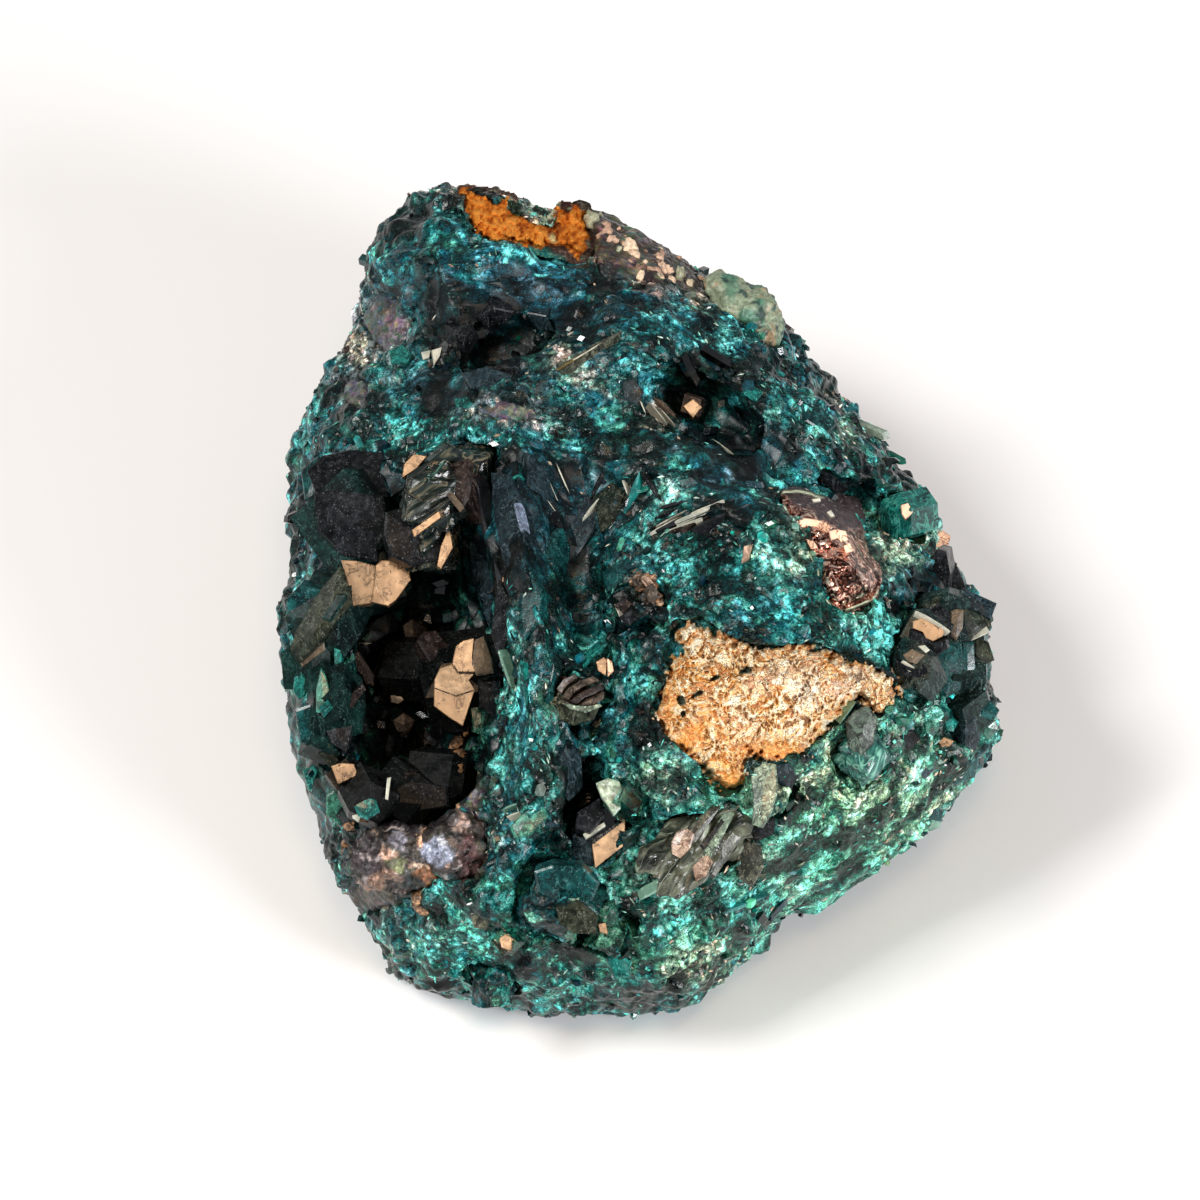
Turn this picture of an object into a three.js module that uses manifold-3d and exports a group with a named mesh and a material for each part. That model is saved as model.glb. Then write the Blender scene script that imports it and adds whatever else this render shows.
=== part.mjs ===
// Dioptase specimen: a hand-sized lump of oxidised copper ore, crusted all over with
// dioptase. Crystal-lined vugs open on its display face, with a limonite crust, a rust
// seam, goethite blisters and a pale green mass beside them. It stands on a flat
// fracture face underneath.
//
// Millimetres, +Z up, origin on the resting plane under the middle of the specimen.
// The display face looks towards -Y and upwards.
import * as THREE from "three";
import { ConvexGeometry } from "three/addons/geometries/ConvexGeometry.js";
import { mergeVertices } from "three/addons/utils/BufferGeometryUtils.js";
import Module from "manifold-3d";

const wasm = await Module();
wasm.setup();
const DEG = Math.PI / 180;

// ---------------------------------------------------------------- driving dimensions
const DETAIL = 10; // icosahedron subdivision of the host rock
const GAP = 0.3; // clearance between a grown-in piece and its socket
const FACE_TILT = 50 * DEG; // the display face looks this far above the horizon
const VIEW_DISTANCE = 300; // the face is laid out as seen from this far in front of it
const AIM = [-2.72, -1.38, 15]; // where the face's own axes cross
const HEART = [2.67, -0.67]; // middle of the outline, on the face
const RIM = [-1.5, -0.3]; // depth of the widest outline at the middle, and its slope
const SWELL = 15; // how far the face swells out in front of that rim
const SHOULDER = 2.2; // the face meets the outline this far in front of the rim
const BACK = 31; // the broken-off back is this far behind AIM
const CORE = [-1.22, -0.88, 13.5]; // the rock's surface is measured out from here
// Outline of the specimen seen square on to the face: radius about HEART every
// 5 degrees, anticlockwise from the right.
const OUTLINE = [
  23.57, 21.74, 21.08, 21.03, 21.0, 20.25, 19.99, 19.88, 19.73, 19.83, 19.96, 20.34,
  20.56, 21.65, 22.56, 22.43, 22.89, 24.07, 25.11, 26.65, 27.5, 27.99, 30.56, 31.21,
  31.37, 30.75, 28.77, 26.79, 26.64, 26.07, 25.69, 25.4, 24.79, 24.35, 23.59, 23.27,
  23.73, 23.95, 23.86, 24.23, 24.73, 25.2, 25.57, 26.03, 26.7, 27.59, 27.73, 29.49,
  29.13, 28.23, 27.83, 27.69, 27.29, 27.19, 27.02, 26.75, 25.9, 24.53, 23.67, 22.83,
  22.7, 22.99, 23.35, 23.57, 24.09, 24.46, 24.11, 24.97, 25.29, 24.69, 23.53, 23.59,
];
// Humps and troughs of the face: [a, b, half-length, half-width, turn in degrees, height]
const RELIEF = [
  [12.0, -5.5, 10.5, 9.5, 0, 6.5], // the lit dome
  [-2.0, -21.5, 8.0, 4.0, 0, 2.0], // foot bulge
  [2.5, 17.5, 6.5, 3.0, 15, 2.4], // shoulder above the small vug
  [15.5, 11.8, 9.5, 1.9, -42, 2.6], // right-hand back ridge
  [16.6, 6.6, 7.0, 1.4, -30, -3.2], // cleft under that ridge
  [-8.0, 17.5, 6.5, 3.0, 8, -4.0], // upper basin
  [-10.5, 24.0, 5.0, 3.5, 0, 2.6], // top knob
  [-4.9, 1.0, 11.0, 1.7, 96, 3.2], // rib between the two main vugs
  [-5.0, -14.0, 6.5, 2.0, 80, 2.6], // the rib's lower end
  [-0.9, -2.0, 9.0, 1.4, 97, -3.0], // trench right of the rib
  [-15.0, -15.5, 5.0, 3.0, -20, 1.6], // bare rock lip under the main vug
  [6.0, 7.5, 6.5, 1.5, -25, 2.0], // ledge below the small vug
];
// Vugs: [name, a, b, half-width, half-height, depth, turn]
const VUGS = [
  [-12.2, -3.2, 5.6, 12.4, 10.0, 2],
  [6.9, 12.6, 4.7, 2.5, 5.5, -32],
  [-0.7, -13.8, 1.7, 3.3, 4.5, 4],
  [17.6, 6.4, 4.0, 1.2, 3.0, -33],
  [-6.3, 17.2, 3.3, 1.8, 3.2, 12],
];

// ---------------------------------------------------------------- the face's own frame
const right = new THREE.Vector3(1, 0, 0);
const up = new THREE.Vector3(0, Math.sin(FACE_TILT), Math.cos(FACE_TILT));
const out = new THREE.Vector3(0, -Math.cos(FACE_TILT), Math.sin(FACE_TILT));
const aim = new THREE.Vector3(...AIM);
const onFace = (p) => {
  const q = p.clone().sub(aim);
  const d = q.dot(out);
  const w = VIEW_DISTANCE / (VIEW_DISTANCE - d);
  return [q.dot(right) * w, q.dot(up) * w, d];
};
const fromFace = (a, b, d) => {
  const w = VIEW_DISTANCE / (VIEW_DISTANCE - d);
  return aim
    .clone()
    .addScaledVector(right, a / w)
    .addScaledVector(up, b / w)
    .addScaledVector(out, d);
};
const facing = (x, y, z) =>
  new THREE.Vector3()
    .addScaledVector(right, x)
    .addScaledVector(up, y)
    .addScaledVector(out, z)
    .normalize();
const faceTurn = new THREE.Matrix4().makeBasis(right, up, out);

// ---------------------------------------------------------------- roughness of the rock
function lattice(i, j, k, seed) {
  let h =
    Math.imul(i, 374761393) +
    Math.imul(j, 668265263) +
    Math.imul(k, 1274126177) +
    Math.imul(seed, 974711);
  h = Math.imul(h ^ (h >>> 13), 1274126177);
  return (((h ^ (h >>> 16)) >>> 0) / 4294967295) * 2 - 1;
}
function noise(p, size, seed) {
  const [x, y, z] = [p.x / size, p.y / size, p.z / size];
  const [i, j, k] = [Math.floor(x), Math.floor(y), Math.floor(z)];
  const s = (t) => t * t * (3 - 2 * t);
  const [u, v, w] = [s(x - i), s(y - j), s(z - k)];
  let sum = 0;
  for (let c = 0; c < 8; c++) {
    const [di, dj, dk] = [c & 1, (c >> 1) & 1, c >> 2];
    sum +=
      (di ? u : 1 - u) *
      (dj ? v : 1 - v) *
      (dk ? w : 1 - w) *
      lattice(i + di, j + dj, k + dk, seed);
  }
  return sum;
}
const smoothMax = (a, b, k) => {
  const h = Math.max(k - Math.abs(a - b), 0) / k;
  return Math.max(a, b) + h * h * k * 0.25;
};

// ---------------------------------------------------------------- the host rock
function rimRadius(a, b) {
  const turn = (Math.atan2(b - HEART[1], a - HEART[0]) / DEG + 360) % 360;
  const i = Math.floor(turn / 5) % 72;
  const t = turn / 5 - Math.floor(turn / 5);
  return OUTLINE[i] * (1 - t) + OUTLINE[(i + 1) % 72] * t;
}
function faceDepth(a, b) {
  const s = Math.min(1, Math.hypot(a - HEART[0], b - HEART[1]) / rimRadius(a, b));
  let d = RIM[0] + RIM[1] * b + SHOULDER;
  d += (SWELL - SHOULDER) * Math.pow(1 - Math.pow(s, 2.6), 0.62);
  for (const [ca, cb, long, wide, turn, height] of RELIEF) {
    const [c, n] = [Math.cos(turn * DEG), Math.sin(turn * DEG)];
    const [x, y] = [(a - ca) * c + (b - cb) * n, -(a - ca) * n + (b - cb) * c];
    d += height * Math.exp(-0.5 * ((x / long) ** 2 + (y / wide) ** 2) * 1.6);
  }
  return d;
}
// Below zero inside the rock, about the distance from its surface in mm.
function rock(p) {
  const [a, b, d] = onFace(p);
  const rho = Math.hypot(a - HEART[0], b - HEART[1]);
  const past = d - (RIM[0] + RIM[1] * b);
  const narrow = past > 0 ? 0.1 * (past / 12) ** 2 : 0.14 * (past / 24) ** 2;
  const radius = rimRadius(a, b);
  const side = rho - radius * (1 - narrow);
  const front = (d - faceDepth(a, b)) * 0.85;
  const q = new THREE.Vector3(p.x - AIM[0], p.y - AIM[1], p.z);
  const back = 0.1 * q.x + 0.99 * (q.y - BACK) + 0.06 * (q.z - 14);
  const floor = -2.4 - p.z;
  let f = smoothMax(side, front, 1.6);
  f = smoothMax(f, back, 4.5);
  f = smoothMax(f, floor, 4);
  const free = Math.min(1, Math.max(Math.abs(past) / 9, (1 - rho / radius) * 3));
  const rough = 1.1 * noise(q, 8, 1) + 0.6 * noise(q, 3.7, 2);
  const broken = Math.min(1, Math.max(0, -past - 2) / 8) * 2.4 * (noise(q, 12, 3) + 0.55);
  return f + rough * (0.15 + 0.85 * free) + broken;
}
// The rock's surface moved outwards by grow mm.
function rockSolid(grow) {
  const g = new THREE.IcosahedronGeometry(1, DETAIL);
  const pos = g.getAttribute("position");
  const core = new THREE.Vector3(...CORE);
  const v = new THREE.Vector3();
  const p = new THREE.Vector3();
  const cache = new Map();
  for (let i = 0; i < pos.count; i++) {
    v.fromBufferAttribute(pos, i).normalize();
    const key = [v.x, v.y, v.z].map((x) => x.toFixed(5)).join();
    let r = cache.get(key);
    if (r === undefined) {
      let hi = 60;
      while (hi > 1 && rock(p.copy(core).addScaledVector(v, hi)) > grow) hi -= 0.5;
      let lo = hi;
      hi += 0.5;
      for (let n = 0; n < 24; n++) {
        const mid = (lo + hi) / 2;
        if (rock(p.copy(core).addScaledVector(v, mid)) > grow) hi = mid;
        else lo = mid;
      }
      r = (lo + hi) / 2;
      cache.set(key, r);
    }
    pos.setXYZ(i, core.x + v.x * r, core.y + v.y * r, core.z + v.z * r);
  }
  return solid(g);
}

// ---------------------------------------------------------------- solids and booleans
function solid(geometry) {
  let g = geometry.index ? geometry.toNonIndexed() : geometry.clone();
  for (const name of Object.keys(g.attributes))
    if (name !== "position") g.deleteAttribute(name);
  g = mergeVertices(g, 1e-4);
  return new wasm.Manifold(
    new wasm.Mesh({
      numProp: 3,
      vertProperties: g.attributes.position.array,
      triVerts: new Uint32Array(g.index.array),
    }),
  );
}
function geometryOf(manifold) {
  const m = manifold.getMesh();
  const g = new THREE.BufferGeometry();
  g.setAttribute("position", new THREE.BufferAttribute(m.vertProperties, 3));
  g.setIndex(new THREE.BufferAttribute(m.triVerts, 1));
  const flat = g.toNonIndexed();
  flat.computeVertexNormals();
  return flat;
}
const largest = (manifold) =>
  manifold.decompose().sort((m, n) => n.volume() - m.volume())[0];

// A lumpy ellipsoid on the face: radii along the face's own axes, turned in its plane.
function lump(a, b, d, radii, turn, seed, rough, detail) {
  const g = new THREE.IcosahedronGeometry(1, detail);
  const pos = g.getAttribute("position");
  const v = new THREE.Vector3();
  for (let i = 0; i < pos.count; i++) {
    v.fromBufferAttribute(pos, i).normalize();
    v.multiplyScalar(1 + rough * noise(v.clone().multiplyScalar(2.2), 1, seed));
    pos.setXYZ(i, v.x, v.y, v.z);
  }
  const c = fromFace(a, b, d);
  g.scale(...radii);
  g.rotateZ(turn * DEG);
  g.applyMatrix4(faceTurn);
  g.translate(c.x, c.y, c.z);
  return solid(g);
}

// ---------------------------------------------------------------- dioptase crystals
// A hexagonal prism closed at each end by three rhombohedron faces. radius is to the
// prism's edges and half to the tips; grow moves every face out, for the socket.
const POLE = 50.96 * DEG; // the rhombohedron's face normals lie this far from the axis
function crystalGeometry(radius, half, grow = 0, squeeze = 1) {
  const r = radius + grow / Math.cos(30 * DEG);
  const h = half + grow / Math.cos(POLE);
  const drop = Math.tan(POLE) * r;
  const points = [new THREE.Vector3(0, 0, h), new THREE.Vector3(0, 0, -h)];
  for (let j = 0; j < 6; j++) {
    const [x, y] = [r * Math.cos(60 * j * DEG), r * Math.sin(60 * j * DEG)];
    points.push(new THREE.Vector3(x, y * squeeze, h - drop * (j % 2 ? 0.5 : 1)));
    points.push(new THREE.Vector3(x, y * squeeze, -h + drop * (j % 2 ? 1 : 0.5)));
  }
  return new ConvexGeometry(points);
}
const LOCAL = {
  tip: new THREE.Vector3(0, 0, 1),
  rhomb: new THREE.Vector3(Math.sin(POLE), 0, Math.cos(POLE)),
  prism: new THREE.Vector3(Math.cos(30 * DEG), Math.sin(30 * DEG), 0),
};
// Depth of the open surface, vugs included, at a point of the face.
function surfaceDepth(a, b) {
  let d = 34;
  while (d > -30 && rock(fromFace(a, b, d)) > 0) d -= 0.1;
  for (const [va, vb, w, h, deep, turn] of VUGS) {
    const [c, n] = [Math.cos(turn * DEG), Math.sin(turn * DEG)];
    const [x, y] = [(a - va) * c + (b - vb) * n, -(a - va) * n + (b - vb) * c];
    const s = 1 - (x / w) ** 2 - (y / h) ** 2;
    if (s > 0) d = Math.min(d, vugDepth(va, vb) - deep * Math.sqrt(s));
  }
  return d;
}
function vugDepth(a, b) {
  let d = 34;
  while (d > -30 && rock(fromFace(a, b, d)) > 0) d -= 0.1;
  return d;
}
// [a, b, lift, by, [x, y, z], spin, radius, half, squeeze]: the crystal's middle stands
// lift above the surface at (a, b), with its tip, rhombohedron or prism face turned
// towards x right, y up, z out of the face, then spun about that direction.
function placed([a, b, lift, by, dir, spin, radius, half, squeeze = 1], grow) {
  const g = crystalGeometry(radius, half, grow, squeeze);
  const n = facing(...dir);
  const turn = new THREE.Quaternion().setFromUnitVectors(LOCAL[by], n);
  turn.premultiply(new THREE.Quaternion().setFromAxisAngle(n, spin * DEG));
  g.applyQuaternion(turn);
  const c = fromFace(a, b, surfaceDepth(a, b) + lift);
  g.translate(c.x, c.y, c.z);
  return solid(g);
}
const CRYSTALS = {
  vug_crystals_left: [
    [-16.6, 5.2, -0.4, "rhomb", [-0.22, -0.06, 0.97], 12, 4.1, 4.3],
    [-14.9, 1.3, 1.6, "rhomb", [0.02, 0.12, 1], 80, 2.7, 3.0],
    [-18.0, -0.9, 0.4, "prism", [-0.35, 0.2, 0.92], 35, 2.7, 3.4],
    [-19.0, -4.3, 0.3, "rhomb", [-0.5, -0.1, 0.86], 60, 2.0, 2.6],
    [-17.6, -6.9, 0.6, "prism", [-0.25, -0.2, 0.95], 100, 2.0, 2.8],
    [-18.4, -9.4, 0.2, "tip", [-0.4, -0.1, 0.9], 20, 1.6, 2.0],
  ],
  vug_crystals_upper: [
    [-10.3, 7.6, 2.0, "tip", [-0.62, -0.55, 0.56], 10, 2.6, 4.4],
    [-11.2, 3.7, 4.4, "tip", [-0.15, -0.6, 0.78], 35, 2.1, 3.0],
  ],
  vug_crystals_right: [
    [-9.4, -5.4, 3.0, "prism", [0.05, 0.1, 1], 72, 2.9, 3.9],
    [-7.6, -4.2, 1.6, "prism", [0.32, 0.05, 0.95], 20, 1.9, 2.6],
    [-13.0, -4.6, 1.0, "tip", [0.3, -0.2, 0.9], 10, 2.3, 3.0],
  ],
  vug_crystals_floor: [
    [-16.8, -11.9, 0.6, "rhomb", [0.05, 0.1, 1], 10, 1.4, 1.8],
    [-13.3, -13.6, 1.4, "rhomb", [0.1, 0.5, 0.86], 15, 2.9, 3.2],
    [-15.4, -13.1, 1.0, "tip", [0.1, 0.4, 0.9], 50, 2.0, 2.5],
    [-10.6, -12.2, 2.0, "rhomb", [-0.3, 0.4, 0.86], 40, 2.6, 3.0],
  ],
  pit_crystal: [[-0.3, -15.6, 1.5, "tip", [0.25, 0.62, 0.75], 27, 1.9, 3.0]],
  small_vug_crystal: [[6.1, 12.9, 1.0, "rhomb", [0.02, 0.12, 1], 45, 1.0, 1.1]],
  edge_crystals: [
    [23.3, -1.6, -0.4, "rhomb", [0.55, 0.1, 0.82], 60, 2.7, 3.0],
    [21.6, -2.2, 0.5, "rhomb", [0.02, 0.12, 1], 30, 1.7, 2.2],
    [21.2, -4.6, 0.3, "prism", [0.05, 0.1, 1], 120, 1.5, 2.3],
    [23.9, -4.9, -0.5, "tip", [0.7, -0.2, 0.7], 15, 1.9, 2.4],
    [24.4, -7.4, -0.9, "rhomb", [0.6, -0.2, 0.78], 15, 1.9, 2.3],
  ],
  corner_crystal: [[20.6, 5.7, -0.9, "tip", [0.75, 0.3, 0.6], 30, 1.7, 2.4]],
  trench_crystal: [[-1.4, -6.8, 0.1, "rhomb", [-0.1, 0.25, 0.96], 20, 2.3, 2.4]],
  ledge_crystal: [[2.3, -0.4, 0.0, "rhomb", [0.1, 0.2, 0.97], 75, 2.1, 2.3]],
  pale_crystal: [[1.7, -13.4, 0.3, "tip", [-0.2, 0.1, 0.97], 10, 1.3, 1.8]],
  prism_bundle: [
    [5.1, -16.2, 0.1, "tip", [-0.72, -0.5, 0.42], 0, 1.15, 3.4],
    [6.7, -17.4, 0.2, "tip", [-0.7, -0.5, 0.45], 20, 1.2, 3.8],
    [7.3, -15.8, 0.1, "tip", [-0.68, -0.52, 0.42], 45, 1.25, 3.2],
  ],
  dome_crystal_left: [[11.3, -13.2, 0.1, "rhomb", [-0.2, 0.1, 0.96], 35, 1.5, 1.9]],
  dome_crystal_right: [[17.6, -10.4, 0.1, "rhomb", [0.2, 0.3, 0.93], 10, 1.8, 2.2]],
  foot_crystal_dark: [[-2.9, -20.3, 0.1, "rhomb", [0.0, 0.4, 0.9], 30, 3.0, 3.3]],
  foot_crystal_gold: [[-6.2, -22.8, 0.1, "rhomb", [0.02, 0.12, 1], 15, 1.0, 1.3]],
  foot_crystal_right: [[0.6, -22.4, 0.1, "rhomb", [0.3, -0.1, 0.95], 50, 1.8, 2.2]],
  base_crystal: [[-7.2, -25.6, -0.5, "tip", [-0.1, -0.8, 0.6], 30, 1.7, 2.2]],
};

// ---------------------------------------------------------------- crusts
// A crust lies in a shallow bed: outline on the face, mean depth there, how far it
// stands proud and how deep its bed is.
function slab(outline, depth, spread) {
  const w = VIEW_DISTANCE / (VIEW_DISTANCE - depth);
  const corners = outline.map(([a, b]) => new THREE.Vector2(a / w, b / w));
  const round = THREE.ShapeUtils.area(corners) > 0 ? 1 : -1;
  const shape = new THREE.Shape(
    corners.map((q, i) => {
      const before = corners.at(i - 1);
      const after = corners[(i + 1) % corners.length];
      const n1 = new THREE.Vector2(q.y - before.y, before.x - q.x).normalize();
      const n2 = new THREE.Vector2(after.y - q.y, q.x - after.x).normalize();
      const mitre = n1.clone().add(n2).normalize();
      const reach = spread / Math.max(0.45, mitre.dot(n1));
      return q.clone().addScaledVector(mitre, round * reach);
    }),
  );
  const g = new THREE.ExtrudeGeometry(shape, { depth: 24, bevelEnabled: false });
  g.translate(0, 0, depth - 12);
  g.applyMatrix4(faceTurn);
  g.translate(...AIM);
  return solid(g);
}
const OCHRE = [
  [5.1, -1.7], [6.7, -1.4], [8.0, -2.6], [10.6, -3.4], [12.6, -3.0], [14.6, -3.1],
  [17.0, -4.5], [19.7, -5.4], [19.0, -7.5], [17.0, -6.9], [15.6, -8.3], [13.4, -10.2],
  [10.9, -10.4], [9.4, -9.9], [9.6, -12.6], [8.3, -12.8], [6.6, -10.6], [3.6, -7.4],
  [5.2, -4.9], [4.6, -3.4],
];
const RUST = [
  [-8.7, 27.2], [-6.6, 26.4], [-4.8, 25.2], [-3.2, 24.8], [-1.6, 26.2], [-0.2, 24.6],
  [-0.9, 22.4], [-3.6, 23.4], [-6.4, 23.8], [-8.2, 24.8],
];

// ---------------------------------------------------------------- build
const DIOPTASE = { color: 0x0f5a4c, roughness: 0.12, metalness: 0 };
const MATERIALS = {
  matrix: { color: 0x1f4a45, roughness: 0.75, metalness: 0 },
  ochre_crust: { color: 0xd08a3c, roughness: 0.85, metalness: 0 },
  rust_crust: { color: 0xb8541a, roughness: 0.9, metalness: 0 },
  goethite_nodule: { color: 0x4a2a1e, roughness: 0.3, metalness: 0.6 },
  pale_green_mass: { color: 0x9fb59a, roughness: 0.5, metalness: 0 },
  vug_lip_nodule: { color: 0x5a4038, roughness: 0.5, metalness: 0.3 },
};
const root = new THREE.Group();
function add(name, manifold) {
  const g = geometryOf(manifold);
  const mesh = new THREE.Mesh(
    g,
    new THREE.MeshStandardMaterial({ flatShading: true, ...(MATERIALS[name] ?? DIOPTASE) }),
  );
  mesh.name = name;
  root.add(mesh);
}

let host = rockSolid(0);
for (const [i, [a, b, w, h, deep, turn]] of VUGS.entries())
  host = host.subtract(
    lump(a, b, vugDepth(a, b), [w, h, deep], turn, 11 + i, 0.16, i === 0 ? 4 : 2),
  );
// flat fracture face underneath
const slabUnder = new THREE.BoxGeometry(120, 120, 20);
slabUnder.translate(0, 0, -10);
host = host.subtract(solid(slabUnder));

// crystals in their sockets
const pieces = {};
for (const [name, list] of Object.entries(CRYSTALS)) {
  const grown = list.map((c) => placed(c, GAP)).reduce((s, m) => s.add(m));
  pieces[name] = list.map((c) => placed(c, 0)).reduce((s, m) => s.add(m));
  host = host.subtract(grown);
}
// crusts in their beds
for (const [name, outline, depth, proud, bed] of [
  ["ochre_crust", OCHRE, 19, 0.45, -0.9],
  ["rust_crust", RUST, -1, 0.35, -1.2],
]) {
  const crust = slab(outline, depth, -0.15)
    .intersect(rockSolid(proud))
    .subtract(rockSolid(bed));
  pieces[name] = largest(crust);
  host = host.subtract(slab(outline, depth, 0.25).subtract(rockSolid(bed - GAP)));
}
// goethite blisters and the pale mass
for (const [name, balls] of [
  [
    "goethite_nodule",
    [
      [14.5, 5.2, 0.0, 2.5, 1.5, 1.5, -15],
      [15.8, 3.4, 0.0, 1.8, 2.2, 1.5, -30],
      [16.8, 1.0, 0.2, 1.7, 2.0, 1.6, 0],
    ],
  ],
  ["vug_lip_nodule", [[-13.4, -17.2, -0.3, 3.6, 1.9, 1.7, 8], [-9.6, -16.4, -0.3, 2.0, 1.9, 1.5, 50]]],
  ["pale_green_mass", [[9.7, 19.2, -1.6, 3.1, 1.7, 2.2, -40]]],
]) {
  const made = (grow) =>
    balls
      .map(([a, b, lift, x, y, z, turn], i) =>
        lump(a, b, surfaceDepth(a, b) + lift, [x + grow, y + grow, z + grow], turn, 31 + i, 0.12, 2),
      )
      .reduce((s, m) => s.add(m));
  pieces[name] = made(0);
  host = host.subtract(made(GAP));
}
add("matrix", largest(host));
for (const [name, m] of Object.entries(pieces)) add(name, m);

export default root;
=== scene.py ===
"""Looks of the dioptase specimen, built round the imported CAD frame. Blender 4.5, Cycles."""

import math

import bmesh
import bpy
import numpy as np
from mathutils import Matrix, Vector
from mathutils.bvhtree import BVHTree
from mathutils.kdtree import KDTree


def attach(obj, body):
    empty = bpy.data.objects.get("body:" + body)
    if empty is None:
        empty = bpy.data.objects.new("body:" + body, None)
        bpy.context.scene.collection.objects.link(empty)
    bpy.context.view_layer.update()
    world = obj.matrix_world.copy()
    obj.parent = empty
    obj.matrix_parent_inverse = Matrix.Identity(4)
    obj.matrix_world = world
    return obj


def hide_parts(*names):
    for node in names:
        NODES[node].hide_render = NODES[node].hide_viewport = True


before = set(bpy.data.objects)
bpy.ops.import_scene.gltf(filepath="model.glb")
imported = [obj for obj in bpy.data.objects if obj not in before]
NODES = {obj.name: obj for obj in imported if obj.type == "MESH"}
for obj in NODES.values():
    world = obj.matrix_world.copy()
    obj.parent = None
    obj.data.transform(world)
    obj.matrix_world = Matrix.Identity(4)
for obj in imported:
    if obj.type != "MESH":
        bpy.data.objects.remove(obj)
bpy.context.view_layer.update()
MM = 0.001

# ------------------------------------------------------------------ the display face
# Lengths below are millimetres. The display face looks 50 degrees above the horizon;
# chart coordinates run right and down over it, 15 to the millimetre, middle at 600.
TILT = math.radians(50)
RIGHT = np.array([1.0, 0.0, 0.0])
UP = np.array([0.0, math.sin(TILT), math.cos(TILT)])
OUT = np.array([0.0, -math.cos(TILT), math.sin(TILT)])
AIM = np.array([-2.72, -1.38, 15.0])
DIST = 300.0


def chart(P):
    """Chart x, chart y and depth of row points, as (N,) arrays."""
    Q = np.asarray(P, float) - AIM
    d = Q @ OUT
    w = DIST / (DIST - d)
    return 600 + 15 * (Q @ RIGHT) * w, 600 - 15 * (Q @ UP) * w, d


def from_chart(x, y, d):
    a, b = (np.asarray(x, float) - 600) / 15, (600 - np.asarray(y, float)) / 15
    d = np.asarray(d, float)
    k = (DIST - d) / DIST
    return AIM + np.outer(a * k, RIGHT) + np.outer(b * k, UP) + np.outer(d, OUT)


def facing(x, y, z):
    v = x * RIGHT + y * UP + z * OUT
    return v / np.linalg.norm(v)


# ------------------------------------------------------------------ seeded noise
def lattice(i, j, k, seed):
    i, j, k = (v.astype(np.int64) for v in (i, j, k))
    h = (i * 374761393 + j * 668265263 + k * 1274126177 + seed * 974711) & 0xFFFFFFFF
    h = ((h ^ (h >> 13)) * 1274126177) & 0xFFFFFFFF
    h = ((h ^ (h >> 16)) * 2246822519) & 0xFFFFFFFF
    return ((h ^ (h >> 15)) & 0xFFFFFFFF) / 2147483647.5 - 1.0


def noise(P, size, seed):
    """Smooth noise, about -1 to 1, with features of the given size in millimetres."""
    Q = np.asarray(P, float) / size
    F = np.floor(Q)
    T = Q - F
    T = T * T * T * (T * (T * 6 - 15) + 10)
    out = np.zeros(len(Q))
    for c in range(8):
        o = np.array([c & 1, (c >> 1) & 1, c >> 2])
        w = np.prod(np.where(o, T, 1 - T), axis=1)
        G = F + o
        out += w * lattice(G[:, 0], G[:, 1], G[:, 2], seed)
    return out


def fbm(P, size, seed, octaves=3, gain=0.5):
    out, amp, total = 0.0, 1.0, 0.0
    for o in range(octaves):
        out = out + amp * noise(P, size / 2**o, seed + 17 * o)
        total += amp
        amp *= gain
    return out / total


def ridged(P, size, seed, octaves=2):
    out, amp, total = 0.0, 1.0, 0.0
    for o in range(octaves):
        out = out + amp * (1 - 2 * np.abs(noise(P, size / 2**o, seed + 31 * o)))
        total += amp
        amp *= 0.5
    return out / total


def smooth(x, lo, hi):
    t = np.clip((np.asarray(x, float) - lo) / (hi - lo), 0, 1)
    return t * t * (3 - 2 * t)


# ------------------------------------------------------------------ outlines on the chart
def edge_distance(x, y, corners):
    """Signed distance to a closed outline on the chart, below zero inside."""
    C = np.asarray(corners, float)
    best = np.full(len(x), 1e9)
    inside = np.zeros(len(x), bool)
    for i in range(len(C)):
        x0, y0 = C[i]
        x1, y1 = C[(i + 1) % len(C)]
        dx, dy = x1 - x0, y1 - y0
        t = np.clip(((x - x0) * dx + (y - y0) * dy) / (dx * dx + dy * dy), 0, 1)
        best = np.minimum(best, np.hypot(x - x0 - t * dx, y - y0 - t * dy))
        hit = (y0 > y) != (y1 > y)
        with np.errstate(divide="ignore", invalid="ignore"):
            cross = x0 + (y - y0) * dx / (dy if dy else 1e-9)
        inside ^= hit & (x < cross)
    return np.where(inside, -best, best)


def blob(x, y, cx, cy, rx, ry, turn=0.0):
    """1 in the middle of an oval on the chart, falling off smoothly past its edge."""
    c, s = math.cos(math.radians(turn)), math.sin(math.radians(turn))
    u, v = (x - cx) * c - (y - cy) * s, (x - cx) * s + (y - cy) * c
    return np.exp(-((u / rx) ** 2 + (v / ry) ** 2) * 1.1)


# ------------------------------------------------------------------ meshes
def new_object(name, verts_mm, flat_faces, sizes, smooth_shade=False):
    me = bpy.data.meshes.new(name)
    verts = np.asarray(verts_mm, np.float32) * MM
    flat = np.asarray(flat_faces, np.int32)
    sizes = np.asarray(sizes, np.int32)
    me.vertices.add(len(verts))
    me.vertices.foreach_set("co", verts.ravel())
    me.loops.add(len(flat))
    me.loops.foreach_set("vertex_index", flat)
    me.polygons.add(len(sizes))
    me.polygons.foreach_set("loop_start", np.concatenate([[0], np.cumsum(sizes)[:-1]]).astype(np.int32))
    me.polygons.foreach_set("use_smooth", np.full(len(sizes), smooth_shade))
    me.update(calc_edges=True)
    me.validate()
    ob = bpy.data.objects.new(name, me)
    bpy.context.scene.collection.objects.link(ob)
    return ob


def coords(me):
    co = np.zeros(len(me.vertices) * 3, np.float32)
    me.vertices.foreach_get("co", co)
    return co.reshape(-1, 3).astype(float) / MM


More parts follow.
